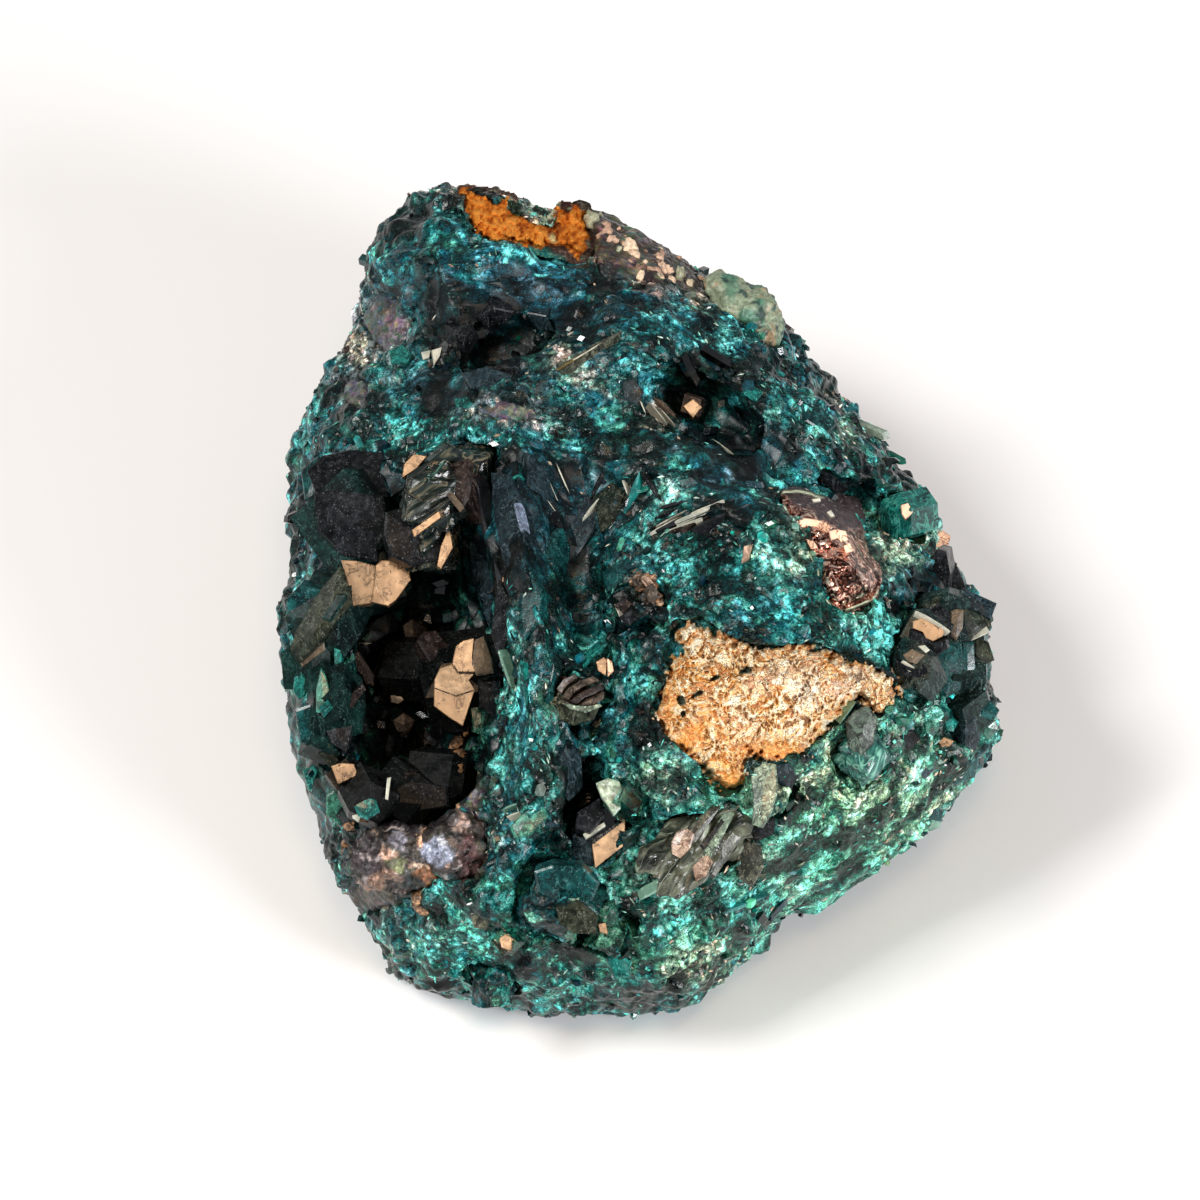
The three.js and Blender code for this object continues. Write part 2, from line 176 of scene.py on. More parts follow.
def normals(me):
    n = np.zeros(len(me.vertices) * 3, np.float32)
    me.vertices.foreach_get("normal", n)
    return n.reshape(-1, 3).astype(float)


def set_coords(me, P):
    me.vertices.foreach_set("co", (np.asarray(P) * MM).astype(np.float32).ravel())
    me.update()


def paint(me, name, values):
    """A per-vertex number (N,) or colour (N, 3) for the material's nodes."""
    values = np.asarray(values, np.float32)
    if values.ndim == 1:
        a = me.attributes.new(name, "FLOAT", "POINT")
        a.data.foreach_set("value", values)
    else:
        a = me.attributes.new(name, "FLOAT_COLOR", "POINT")
        rgba = np.concatenate([values, np.ones((len(values), 1), np.float32)], 1)
        a.data.foreach_set("color", rgba.ravel())


def evaluated(ob):
    """ob with its modifiers applied."""
    dg = bpy.context.evaluated_depsgraph_get()
    me = bpy.data.meshes.new_from_object(ob.evaluated_get(dg))
    ob.modifiers.clear()
    ob.data = me
    return ob


def remeshed(name, sources, voxel, relax=6):
    """One closed skin round the given CAD nodes."""
    bm = bmesh.new()
    for s in sources:
        bm.from_mesh(NODES[s].data)
    me = bpy.data.meshes.new(name)
    bm.to_mesh(me)
    bm.free()
    ob = bpy.data.objects.new(name, me)
    bpy.context.scene.collection.objects.link(ob)
    m = ob.modifiers.new("remesh", "REMESH")
    m.mode = "VOXEL"
    m.voxel_size = voxel * MM
    s = ob.modifiers.new("relax", "SMOOTH")
    s.factor = 0.5
    s.iterations = relax
    evaluated(ob)
    ob.data.materials.clear()
    return ob


def tree_of(ob):
    bm = bmesh.new()
    bm.from_mesh(ob.data)
    t = BVHTree.FromBMesh(bm)
    bm.free()
    return t


# ------------------------------------------------------------------ camera
cam_data = bpy.data.cameras.new("camera")
cam_data.lens = 135
cam_data.sensor_width = 36
cam_data.clip_start = 0.01
cam = bpy.data.objects.new("camera", cam_data)
bpy.context.scene.collection.objects.link(cam)
place = AIM + OUT * DIST
m = Matrix([[RIGHT[i], UP[i], OUT[i], place[i] * MM] for i in range(3)] + [[0, 0, 0, 1]])
cam.matrix_world = m
bpy.context.scene.camera = cam

# ------------------------------------------------------------------ light
scene = bpy.context.scene
scene.view_settings.view_transform = "Standard"
scene.view_settings.look = "None"
world = bpy.data.worlds.new("studio")
scene.world = world
world.use_nodes = True
world.node_tree.nodes["Background"].inputs["Color"].default_value = (0.9, 0.95, 1.0, 1)
world.node_tree.nodes["Background"].inputs["Strength"].default_value = 0.30


def panel(name, direction, distance, size, radiance, colour):
    """A soft box: direction it stands in from the specimen, distance and size in mm."""
    d = bpy.data.lights.new(name, "AREA")
    d.shape = "RECTANGLE"
    d.size, d.size_y = size[0] * MM, size[1] * MM
    area = d.size * d.size_y
    d.energy = radiance * area * math.pi
    d.color = colour
    o = bpy.data.objects.new(name, d)
    scene.collection.objects.link(o)
    v = Vector(direction).normalized()
    o.location = Vector(AIM * MM) + v * distance * MM
    o.rotation_euler = v.to_track_quat("Z", "Y").to_euler()
    return o


GLINT = facing(0.02, 0.12, 1.0)  # facets that face this way mirror the warm lamp
warm_way = 2 * (GLINT @ OUT) * GLINT - OUT
panel("warm_lamp", warm_way, 480, (90, 90), 16.0, (1.0, 0.64, 0.37))
panel("key_box", (-0.60, -0.25, 0.90), 600, (180, 180), 26.0, (1.0, 0.97, 0.94))
panel("second_box", (0.85, -0.78, 0.55), 600, (180, 180), 29.0, (0.98, 0.98, 1.0))
panel("front_strip", facing(-0.75, 0.1, 1.0), 500, (30, 200), 9.0, (0.85, 0.94, 1.0))

# ------------------------------------------------------------------ floor
bpy.ops.mesh.primitive_plane_add(size=6, location=(0, 0, 0))
floor = bpy.context.object
floor.name = "floor"
fm = bpy.data.materials.new("floor_paper")
fm.use_nodes = True
fb = fm.node_tree.nodes["Principled BSDF"]
fb.inputs["Base Color"].default_value = (0.9, 0.9, 0.9, 1)
fb.inputs["Roughness"].default_value = 0.9
fb.inputs["Specular IOR Level"].default_value = 0.1
floor.data.materials.append(fm)


# ------------------------------------------------------------------ material kit
class Nodes:
    """Short names for building a node tree."""

    def __init__(self, name):
        self.mat = bpy.data.materials.new(name)
        self.mat.use_nodes = True
        self.t = self.mat.node_tree
        self.bsdf = self.t.nodes["Principled BSDF"]
        self.out = self.t.nodes["Material Output"]

    def add(self, kind, inputs=None, **props):
        n = self.t.nodes.new(kind)
        for k, v in props.items():
            setattr(n, k, v)
        for k, v in (inputs or {}).items():
            self.feed(n.inputs[k], v)
        return n

    def feed(self, socket, v):
        if isinstance(v, bpy.types.NodeSocket):
            self.t.links.new(v, socket)
        elif isinstance(v, bpy.types.Node):
            self.t.links.new(v.outputs[0], socket)
        elif isinstance(v, tuple) and len(v) == 3 and socket.type == "RGBA":
            socket.default_value = (*v, 1)
        else:
            socket.default_value = v

    def position(self):
        return self.add("ShaderNodeNewGeometry").outputs["Position"]

    def noise(self, size_mm, detail=3.0, rough=0.55, warp=0.0, vector=None):
        n = self.add("ShaderNodeTexNoise", {"Vector": vector or self.position(), "Scale": 1000.0 / size_mm, "Detail": detail, "Roughness": rough, "Distortion": warp})
        return n.outputs["Fac"]

    def voronoi(self, size_mm, feature="F1", vector=None, out="Distance"):
        n = self.add("ShaderNodeTexVoronoi", {"Vector": vector or self.position(), "Scale": 1000.0 / size_mm}, feature=feature)
        return n.outputs[out]

    def ramp(self, fac, stops):
        n = self.add("ShaderNodeValToRGB", {"Fac": fac})
        e = n.color_ramp.elements
        while len(e) > 1:
            e.remove(e[0])
        e[0].position, e[0].color = stops[0][0], self._c(stops[0][1])
        for p, c in stops[1:]:
            q = e.new(p)
            q.color = self._c(c)
        return n.outputs["Color"]

    @staticmethod
    def _c(c):
        return (c, c, c, 1) if isinstance(c, (int, float)) else (*c, 1)

    def mix(self, fac, a, b, blend="MIX"):
        n = self.add("ShaderNodeMix", data_type="RGBA", blend_type=blend)
        self.feed(n.inputs[0], fac)
        self.feed(n.inputs[6], a)
        self.feed(n.inputs[7], b)
        return n.outputs[2]

    def math(self, op, a, b=0.0, clamp=False):
        n = self.add("ShaderNodeMath", operation=op, use_clamp=clamp)
        self.feed(n.inputs[0], a)
        self.feed(n.inputs[1], b)
        return n.outputs[0]

    def attribute(self, name, out="Fac"):
        return self.add("ShaderNodeAttribute", attribute_name=name).outputs[out]

    def bump(self, height, strength, distance_mm, normal=None):
        n = self.add("ShaderNodeBump", {"Height": height, "Strength": strength, "Distance": distance_mm * MM})
        if normal is not None:
            self.feed(n.inputs["Normal"], normal)
        return n.outputs["Normal"]

    def set(self, **inputs):
        for k, v in inputs.items():
            self.feed(self.bsdf.inputs[k.replace("_", " ")], v)
        return self.mat

    def absorb(self, colour, density):
        n = self.add("ShaderNodeVolumeAbsorption")
        n.inputs["Color"].default_value = (*colour, 1)
        n.inputs["Density"].default_value = density
        self.t.links.new(n.outputs[0], self.out.inputs["Volume"])


def gem(name, tint, density, colour, transmission=1.0, rough=0.05, striae=0.25):
    """Dioptase: see-through, high index, growth striations and healed cracks."""
    k = Nodes(name)
    geo = k.position()
    k.set(Transmission_Weight=transmission, IOR=1.66)
    vein = k.noise(1.1, 4, 0.6, 1.2)
    deep = k.mix(k.ramp(vein, [(0.35, 0.0), (0.62, 1.0)]), tuple(c * 0.72 for c in tint), tint)
    k.set(Base_Color=deep)
    k.set(Roughness=k.math("MULTIPLY_ADD", k.noise(0.5, 2), rough * 0.9))
    rn = k.bsdf.inputs["Roughness"].links[0].from_node
    rn.inputs[2].default_value = rough * 0.6
    stretch = k.add("ShaderNodeMapping", {"Vector": geo, "Rotation": (0.5, 0.9, 0.3), "Scale": (1.0, 1.0, 0.06)})
    lines = k.noise(0.16, 2, 0.5, 0.0, stretch.outputs[0])
    pits = k.noise(0.35, 4, 0.65)
    n1 = k.bump(lines, striae, 0.02)
    n2 = k.bump(pits, 0.10, 0.03, n1)
    k.set(Normal=n2)
    k.absorb(colour, density)
    return k.mat


# ------------------------------------------------------------------ gem variants
GEM_DEEP = gem("dioptase_deep", (0.90, 0.97, 0.95), 1500, (0.0, 0.58, 0.48), rough=0.05)
GEM_TEAL = gem("dioptase_teal", (0.55, 0.97, 0.88), 330, (0.02, 0.80, 0.70), rough=0.08, striae=0.4)
GEM_OLIVE = gem("dioptase_olive", (0.80, 0.82, 0.66), 520, (0.30, 0.55, 0.36), rough=0.10, striae=0.5)
GEM_GLINT = gem("dioptase_glint", (0.94, 0.90, 0.84), 900, (0.10, 0.50, 0.40), rough=0.16, striae=0.35)


def dull_gem(name, colour, dark, rough, transmission=0.0):
    """A crystal whose faces are etched or coated: dusty, pitted, barely see-through."""
    k = Nodes(name)
    big = k.noise(1.6, 4, 0.6, 0.8)
    fine = k.noise(0.22, 3, 0.7)
    base = k.mix(k.ramp(big, [(0.35, 0.0), (0.65, 1.0)]), dark, colour)
    base = k.mix(k.ramp(fine, [(0.60, 0.0), (0.74, 1.0)]), base, tuple(min(1, c * 3 + 0.05) for c in colour))
    k.set(Base_Color=base, IOR=1.66, Transmission_Weight=transmission)
    k.set(Roughness=k.ramp(big, [(0.3, rough * 0.7), (0.7, min(1, rough * 1.3))]))
    stretch = k.add("ShaderNodeMapping", {"Vector": k.position(), "Rotation": (0.2, 1.1, 0.7), "Scale": (1.0, 1.0, 0.08)})
    n1 = k.bump(k.noise(0.2, 3, 0.6, 0.0, stretch.outputs[0]), 0.35, 0.04)
    n2 = k.bump(fine, 0.3, 0.04, n1)
    k.set(Normal=n2)
    return k.mat


def plate_gem(name, colour, dark, rough, level=0.5, strokes=None, grain=1.0, wear=1.0):
    """A smooth crystal face, dark in itself, with a few growth lines or strokes."""
    k = Nodes(name)
    big = k.noise(2.2, 3, 0.55, 0.6)
    base = k.mix(k.ramp(big, [(0.34, 0.0), (0.64, 1.0)]), dark, colour)
    if wear:
        patch = k.ramp(k.noise(0.8, 4, 0.68, 1.6), [(0.36, 1 - 0.75 * wear), (0.50, 1.0), (0.66, 1 + 1.3 * wear)])
        base = k.mix(1.0, base, patch, "MULTIPLY")
        thread = k.add("ShaderNodeMapping", {"Vector": k.position(), "Rotation": (0.9, 0.3, 1.0), "Scale": (1.0, 1.0, 0.10)})
        line = k.ramp(k.noise(0.50, 3, 0.55, 0.8, thread.outputs[0]), [(0.575, 0.0), (0.590, 0.75 * wear), (0.600, 0.75 * wear), (0.615, 0.0)])
        base = k.mix(line, base, tuple(min(1, 3.2 * c + 0.035) for c in colour))
        dust = k.ramp(k.noise(0.13, 2, 0.5), [(0.665, 0.0), (0.700, 0.85 * wear)])
        base = k.mix(dust, base, tuple(min(1, 3.0 * c + 0.10) for c in colour))
    if strokes:
        stretch = k.add("ShaderNodeMapping", {"Vector": k.position(), "Rotation": (0.7, 0.4, 1.2), "Scale": (1.0, 1.0, 0.22)})
        mark = k.noise(0.9, 3, 0.6, 1.0, stretch.outputs[0])
        base = k.mix(k.ramp(mark, [(0.545, 0.0), (0.575, 1.0), (0.60, 1.0), (0.63, 0.0)]), base, strokes)
    else:
        base = k.mix(k.ramp(k.noise(0.28, 3, 0.7), [(0.62, 0.0), (0.78, 1.0)]), base, tuple(min(1, c * 2.2 + 0.01) for c in colour))
    k.set(Base_Color=base, IOR=1.66)
    k.bsdf.inputs["Specular IOR Level"].default_value = level
    k.set(Roughness=k.ramp(k.noise(0.9, 3, 0.6), [(0.35, rough * 0.7), (0.65, min(1, rough * 1.35))]))
    stretch = k.add("ShaderNodeMapping", {"Vector": k.position(), "Rotation": (0.2, 1.1, 0.7), "Scale": (1.0, 1.0, 0.08)})
    n1 = k.bump(k.noise(0.35, 2, 0.5, 0.0, stretch.outputs[0]), (0.22 + 0.15 * wear) * grain, 0.03)
    k.set(Normal=k.bump(k.noise(0.6, 4, 0.65), (0.18 + 0.20 * wear) * grain, 0.05, n1))
    return k.mat


PLATE_INK = plate_gem("plate_ink", (0.0085, 0.0100, 0.0115), (0.0028, 0.0036, 0.0044), 0.30, 0.10)
PLATE_SLATE = plate_gem("plate_slate", (0.0120, 0.0250, 0.0310), (0.0040, 0.0090, 0.0120), 0.30, 0.16)
PLATE_TEAL = plate_gem("plate_dark_teal", (0.0035, 0.0460, 0.0450), (0.0020, 0.0170, 0.0190), 0.22, 0.22)
PLATE_MID = plate_gem("plate_teal", (0.0070, 0.1250, 0.1050), (0.0035, 0.0480, 0.0440), 0.20, 0.3)
PLATE_GREEN = plate_gem("plate_green", (0.0300, 0.1500, 0.1000), (0.0120, 0.0620, 0.0460), 0.24, 0.4)
PLATE_BAND = plate_gem("plate_olive", (0.0230, 0.0260, 0.0160), (0.0080, 0.0140, 0.0110), 0.34, 0.06)
PLATE_TAN = plate_gem("plate_tan", (0.1300, 0.0950, 0.0600), (0.0600, 0.0430, 0.0280), 0.30, 0.35, wear=0.5)
PLATE_UMBER = plate_gem("plate_umber", (0.0240, 0.0160, 0.0130), (0.0080, 0.0060, 0.0060), 0.32, 0.12)
# peach faces that are painted highlights, on the goethite nodule and the druse
PAINTED_HIGHLIGHT_PLATE = plate_gem("plate_painted_highlight", (0.88, 0.58, 0.42), (0.55, 0.28, 0.17), 0.25, 0.5, strokes=(0.16, 0.05, 0.03), wear=0)
# gold faces: their golden colour is a painted reflection of the warm lamp, on faces also turned to mirror it; the
# second is a darker, shaded copy
GOLD_FACE_PAINTED_REFLECTION = plate_gem("plate_gold", (0.3600, 0.2100, 0.1050), (0.1900, 0.1050, 0.0500), 0.22, 0.5, strokes=(0.035, 0.012, 0.004), grain=0.6, wear=0)
GOLD_FACE_PAINTED_REFLECTION_SHADED = plate_gem("plate_gold_shaded", (0.3400, 0.2050, 0.1100), (0.1200, 0.0750, 0.0350), 0.24, 0.5, strokes=(0.040, 0.022, 0.008), grain=0.8, wear=0)
PLATE_OLIVE2 = plate_gem("plate_gold_olive", (0.1300, 0.0950, 0.0350), (0.0600, 0.0500, 0.0200), 0.30, 0.25, grain=0.8)
PLATE_MOSS = plate_gem("plate_moss", (0.0520, 0.0620, 0.0520), (0.0200, 0.0280, 0.0240), 0.26, 0.14, strokes=(0.10, 0.14, 0.11))
GEM_CHARCOAL = dull_gem("dioptase_coated", (0.0075, 0.0080, 0.0105), (0.0030, 0.0036, 0.0050), 0.34)
GEM_GREY = dull_gem("dioptase_grey", (0.130, 0.140, 0.095), (0.040, 0.052, 0.038), 0.26)
PLATE_SAGE = plate_gem("plate_sage", (0.1700, 0.2250, 0.1600), (0.0600, 0.0950, 0.0700), 0.26, 0.35, strokes=(0.03, 0.05, 0.04))
PLATE_OLIVE = plate_gem("plate_khaki", (0.0720, 0.0740, 0.0500), (0.0240, 0.0290, 0.0210), 0.28, 0.35, strokes=(0.012, 0.014, 0.010))



def striped_gem(name, dark, streak, turn, width):
    """A dark crystal with long pale growth streaks and a few veins."""
    k = Nodes(name)
    stretch = k.add("ShaderNodeMapping", {"Vector": k.position(), "Rotation": turn, "Scale": (1.0, 1.0, 0.05)})
    lines = k.noise(width, 4, 0.6, 0.3, stretch.outputs[0])
    veins = k.noise(2.6, 2, 0.5, 1.2)
    base = k.mix(k.ramp(lines, [(0.54, 0.0), (0.64, 0.30), (0.76, 1.0)]), dark, streak)
    base = k.mix(k.ramp(veins, [(0.488, 0.0), (0.495, 0.6), (0.500, 0.6), (0.507, 0.0)]), base, (0.36, 0.34, 0.25))
    k.set(Base_Color=base, IOR=1.66)
    k.set(Roughness=k.ramp(lines, [(0.3, 0.14), (0.7, 0.40)]))
    n1 = k.bump(lines, 0.6, 0.08)
    k.set(Normal=k.bump(k.noise(0.25, 3, 0.65), 0.25, 0.04, n1))
    return k.mat


GEM_STRIPED = striped_gem("dioptase_striated", (0.007, 0.012, 0.010), (0.10, 0.13, 0.12), (0.35, 0.9, 0.6), 0.55)
GEM_LAYERED = striped_gem("dioptase_layered", (0.040, 0.050, 0.040), (0.22, 0.40, 0.30), (1.1, 0.3, 0.9), 0.26)

# ------------------------------------------------------------------ colour zones of the display face
# Each is an oval on the chart: x, y, half-width, half-height, turn, colour, strength.
PALETTE = {
    "K": (0.0018, 0.0040, 0.0050),
    "S": (0.0050, 0.0140, 0.0210),
    "D": (0.0025, 0.0360, 0.0420),
    "B": (0.0050, 0.1250, 0.1450),
    "T": (0.0100, 0.3500, 0.2900),
    "M": (0.1400, 0.6600, 0.4600),
    "G": (0.0350, 0.1900, 0.1150),
    "W": (0.2300, 0.4000, 0.2600),
    "O": (0.1400, 0.1400, 0.0850),
    "R": (0.0640, 0.0460, 0.0380),
    "L": (0.1700, 0.1800, 0.1900),
    "P": (0.6200, 0.4200, 0.3100),
}
KEYS = "".join(PALETTE)
TONES = np.array([PALETTE[k] for k in KEYS])
# What each colour is freckled with.
MATES = {
    "K": "KKKKKKDSDKG",
    "S": "SSSSKKDKLBSD",
    "D": "DDDDDKKBBSTDGG",
    "B": "BBBBDDDTTKMBS",
    "T": "TTTTTBBMGDDK",
    "M": "MMTTWGBDTP",
    "G": "GGGGDDTWKKM",
    "W": "WWWWGGTMODDP",
    "O": "OOOORGWKDPD",
    "R": "RRRROPKLSO",
    "L": "LLLLSPKRBS",
    "P": "PPPWORM",
}
ZONES = [
    # top knob
    (425, 235, 50, 55, 0, "D", 1.0), (445, 215, 28, 22, 0, "T", 0.9), (470, 240, 24, 16, 0, "B", 1.0),
    (555, 262, 50, 14, -8, "B", 0.9), (425, 258, 16, 12, 0, "O", 0.8), (455, 300, 14, 9, 0, "M", 0.9),
    (530, 214, 26, 10, 28, "W", 3.6), (512, 204, 12, 6, 20, "P", 2.0), (405, 290, 20, 26, 0, "D", 0.8), (600, 275, 30, 14, 20, "S", 0.7),
    # bare rock right of the rust
    (612, 238, 40, 22, -28, "R", 3.4), (662, 266, 46, 18, -28, "R", 3.4), (632, 232, 16, 14, -30, "W", 2.4), (602, 264, 8, 12, 0, "K", 4.0),
    (590, 225, 12, 14, 0, "O", 1.5), (640, 260, 24, 8, -25, "O", 1.4), (584, 200, 20, 12, 0, "R", 2.5), (484, 188, 34, 10, 8, "R", 4.5),
    # left shoulder
    (382, 318, 24, 32, 10, "L", 1.3), (350, 345, 15, 15, 0, "R", 1.0), (350, 392, 17, 24, 20, "L", 1.1),
    (392, 300, 10, 12, 0, "P", 0.5), (335, 415, 22, 20, 0, "D", 0.7),
    # upper basin
    (500, 300, 110, 30, -5, "S", 1.3), (468, 340, 36, 16, 0, "K", 1.1), (520, 350, 34, 16, 0, "K", 1.0),
    (527, 326, 22, 12, 0, "B", 0.8), (600, 300, 40, 20, 20, "D", 0.8), (575, 360, 40, 14, -40, "W", 0.5),
    (575, 355, 44, 8, -40, "O", 0.9), (440, 388, 34, 14, -10, "S", 0.9), (515, 385, 20, 10, 0, "S", 0.8),
    # right of the basin
    (650, 355, 42, 30, 30, "B", 1.0), (672, 324, 26, 13, 20, "B", 0.8), (722, 342, 28, 18, 40, "B", 0.9),
    (640, 380, 14, 20, 0, "T", 0.5), (780, 385, 30, 20, 45, "B", 1.1), (815, 428, 24, 16, 45, "B", 1.0),
    (768, 420, 12, 34, -40, "D", 0.9), (850, 432, 14, 10, 45, "W", 0.8), (890, 465, 20, 12, 45, "T", 0.8),
    (905, 512, 12, 9, 0, "W", 0.8), (925, 508, 14, 16, 0, "T", 1.0), (950, 540, 12, 10, 0, "P", 0.9),
    (800, 350, 16, 20, 45, "D", 0.8), (835, 400, 10, 20, -45, "R", 0.6),
    # second vug and its lip
    (700, 375, 26, 26, 0, "K", 1.5), (745, 430, 30, 22, 45, "K", 1.5), (660, 418, 24, 12, 0, "R", 0.8),
    (645, 425, 10, 7, 0, "P", 0.4), (612, 418, 22, 26, 0, "D", 0.9), (690, 440, 34, 8, 20, "S", 0.8),
    # band over the main vug
    (400, 430, 30, 13, 0, "T", 0.8), (365, 440, 16, 12, 0, "B", 0.7), (436, 440, 14, 10, 0, "T", 1.2),
    (438, 436, 6, 5, 0, "M", 0.9), (510, 410, 44, 15, -5, "L", 1.0), (500, 447, 38, 16, 0, "B", 0.9),
    (560, 430, 30, 16, -30, "B", 0.8),
    # long dark shards right of the main vug
    (512, 515, 46, 66, 0, "S", 1.5), (560, 560, 30, 60, 10, "S", 1.0), (465, 470, 30, 20, 0, "S", 0.8),
    # lower right and foot, milky green
    (830, 850, 100, 46, -25, "G", 1.0), (880, 800, 50, 30, 0, "O", 0.5), (770, 850, 40, 24, 0, "O", 0.4), (690, 900, 40, 20, 0, "O", 0.35), (900, 530, 26, 16, 0, "W", 1.3), (895, 545, 22, 14, 0, "P", 0.7), (790, 545, 20, 24, 0, "W", 0.9), (790, 540, 16, 20, 0, "P", 0.4), (760, 545, 16, 14, 0, "M", 0.6), (700, 905, 110, 34, -12, "G", 0.7), (905, 775, 60, 56, 0, "W", 0.6),
    (640, 940, 90, 30, 0, "G", 0.5), (860, 850, 40, 24, -30, "T", 0.5), (760, 870, 40, 20, -20, "W", 0.6),
    (460, 950, 40, 30, 0, "T", 0.4), (560, 915, 40, 22, 0, "D", 0.6), (690, 560, 24, 34, 0, "T", 0.7),
    # middle
    (740, 462, 55, 18, 22, "S", 1.2), (670, 485, 30, 18, 0, "M", 0.8), (735, 508, 36, 12, -10, "S", 1.1),
    (765, 530, 34, 30, 0, "T", 1.2), (772, 552, 16, 12, 0, "M", 0.9), (690, 565, 20, 36, 0, "T", 0.9),
    (660, 540, 16, 24, 0, "B", 0.8), (870, 530, 14, 20, 0, "T", 0.8), (895, 556, 22, 14, 0, "W", 1.0),
    (845, 622, 32, 18, 0, "G", 0.9), (880, 637, 18, 24, 0, "T", 1.0), (800, 610, 24, 16, 0, "T", 0.7),
    (928, 582, 36, 22, 0, "S", 0.9), (950, 662, 24, 28, 0, "G", 0.7), (952, 668, 16, 18, 0, "D", 0.7),
    (720, 600, 30, 22, 0, "D", 0.8), (625, 605, 30, 30, 0, "K", 0.9), (590, 600, 20, 40, 0, "D", 0.7),
    # the rib and the trench
    (505, 665, 16, 28, 0, "M", 0.7), (506, 640, 14, 16, 0, "T", 0.8), (520, 722, 14, 44, 0, "B", 1.0),
    (540, 775, 14, 34, 0, "T", 0.9), (480, 812, 26, 14, 0, "B", 0.8), (525, 820, 20, 13, 0, "T", 0.8),
    (588, 650, 16, 14, 0, "B", 0.9), (580, 510, 36, 50, 0, "S", 1.1), (503, 520, 14, 28, 0, "L", 0.4),
    (500, 520, 24, 34, 0, "S", 0.9), (560, 570, 24, 40, 0, "D", 0.8), (535, 620, 20, 34, 0, "D", 0.8),
    (600, 720, 30, 30, 0, "D", 0.8), (575, 780, 18, 24, 0, "K", 1.3), (560, 700, 24, 30, 0, "O", 0.4),
    # round the ochre crust
    (640, 640, 30, 20, 0, "D", 0.9), (660, 700, 18, 40, 0, "D", 0.8), (662, 775, 24, 18, 0, "W", 0.7),
    (662, 780, 18, 16, 0, "O", 0.6), (728, 792, 34, 16, 0, "G", 0.9), (762, 792, 16, 11, 0, "W", 0.9),
    (850, 800, 55, 50, 0, "W", 0.75), (870, 780, 40, 30, 0, "G", 0.6), (892, 800, 30, 30, 0, "T", 0.5),
    (780, 826, 16, 20, 0, "D", 0.9), (870, 742, 18, 12, 0, "O", 0.6), (945, 735, 48, 42, 0, "G", 1.0),
    (905, 705, 14, 12, 0, "T", 0.7), (975, 760, 20, 24, 0, "D", 0.7),
    # foot
    (740, 905, 44, 24, -10, "T", 0.7), (745, 900, 36, 20, 0, "G", 0.7), (675, 920, 30, 14, 0, "T", 0.6),
    (640, 880, 24, 20, 0, "W", 0.6), (400, 950, 34, 32, 0, "W", 0.5), (410, 940, 34, 30, 0, "D", 0.8),
    (530, 935, 30, 22, 0, "B", 0.7), (595, 962, 30, 16, 0, "K", 1.1), (615, 970, 13, 9, 0, "T", 1.0),
    (575, 992, 20, 10, 0, "T", 0.8), (690, 970, 26, 18, 0, "O", 0.9), (722, 960, 18, 12, 0, "W", 0.7),
    (530, 885, 42, 34, 0, "D", 1.1), (470, 900, 26, 26, 0, "G", 0.7), (825, 870, 50, 20, -25, "G", 0.9),
    (640, 990, 40, 14, 0, "D", 0.8),
    # the main vug and its rim
    (412, 700, 60, 112, 0, "K", 2.2), (318, 700, 18, 26, 0, "G", 0.9), (360, 505, 44, 44, 0, "S", 1.3),
    (312, 600, 22, 24, 0, "O", 0.7), (318, 760, 16, 30, 0, "G", 0.7), (365, 800, 20, 12, 0, "T", 0.8),
    (300, 560, 14, 30, 0, "D", 0.9),
    # its left wall
    (316, 700, 34, 150, 0, "D", 1.3), (300, 690, 9, 16, 0, "T", 2.0), (338, 655, 6, 20, 0, "T", 1.4), (325, 706, 9, 9, 0, "G", 2.0),
    (322, 684, 8, 16, 0, "W", 1.0), (312, 778, 13, 15, 0, "T", 1.3), (335, 740, 20, 20, 0, "K", 1.2), (305, 720, 16, 24, 0, "S", 1.0),
    (340, 810, 30, 24, 0, "S", 0.9), (300, 600, 14, 40, 0, "D", 1.4), (322, 470, 14, 30, 0, "D", 1.0), (296, 560, 12, 20, 0, "S", 0.9),
    # bare rock under it
    (420, 850, 60, 34, 0, "R", 1.2), (445, 850, 14, 14, 0, "L", 1.2), (390, 850, 14, 14, 0, "W", 0.8),
    (370, 860, 16, 20, 0, "P", 0.5), (470, 815, 12, 34, 0, "R", 0.9), (440, 888, 22, 15, 0, "B", 1.3),
    (365, 900, 22, 14, 0, "R", 1.0),
]
# Grain of the druse: x, y, half-width, half-height, direction in degrees, strength.
FLOW = [
    (480, 300, 90, 40, -8, 0.8), (620, 330, 60, 34, 25, 0.8), (700, 350, 50, 50, 48, 0.8),
    (830, 440, 110, 26, 48, 1.0), (520, 520, 40, 70, 78, 1.0), (535, 700, 40, 110, 84, 0.9),
    (640, 520, 50, 60, -58, 0.8), (740, 500, 60, 20, -12, 1.0), (590, 690, 40, 50, -55, 0.8),
    (590, 480, 40, 50, 60, 0.7), (760, 440, 70, 16, 24, 0.9), (820, 880, 90, 34, -30, 0.7),
    (690, 850, 50, 40, -52, 0.9), (380, 480, 60, 60, -40, 0.5), (900, 760, 60, 60, -60, 0.4),
    (575, 355, 50, 16, -38, 1.2), (510, 430, 90, 26, -14, 0.8),
]
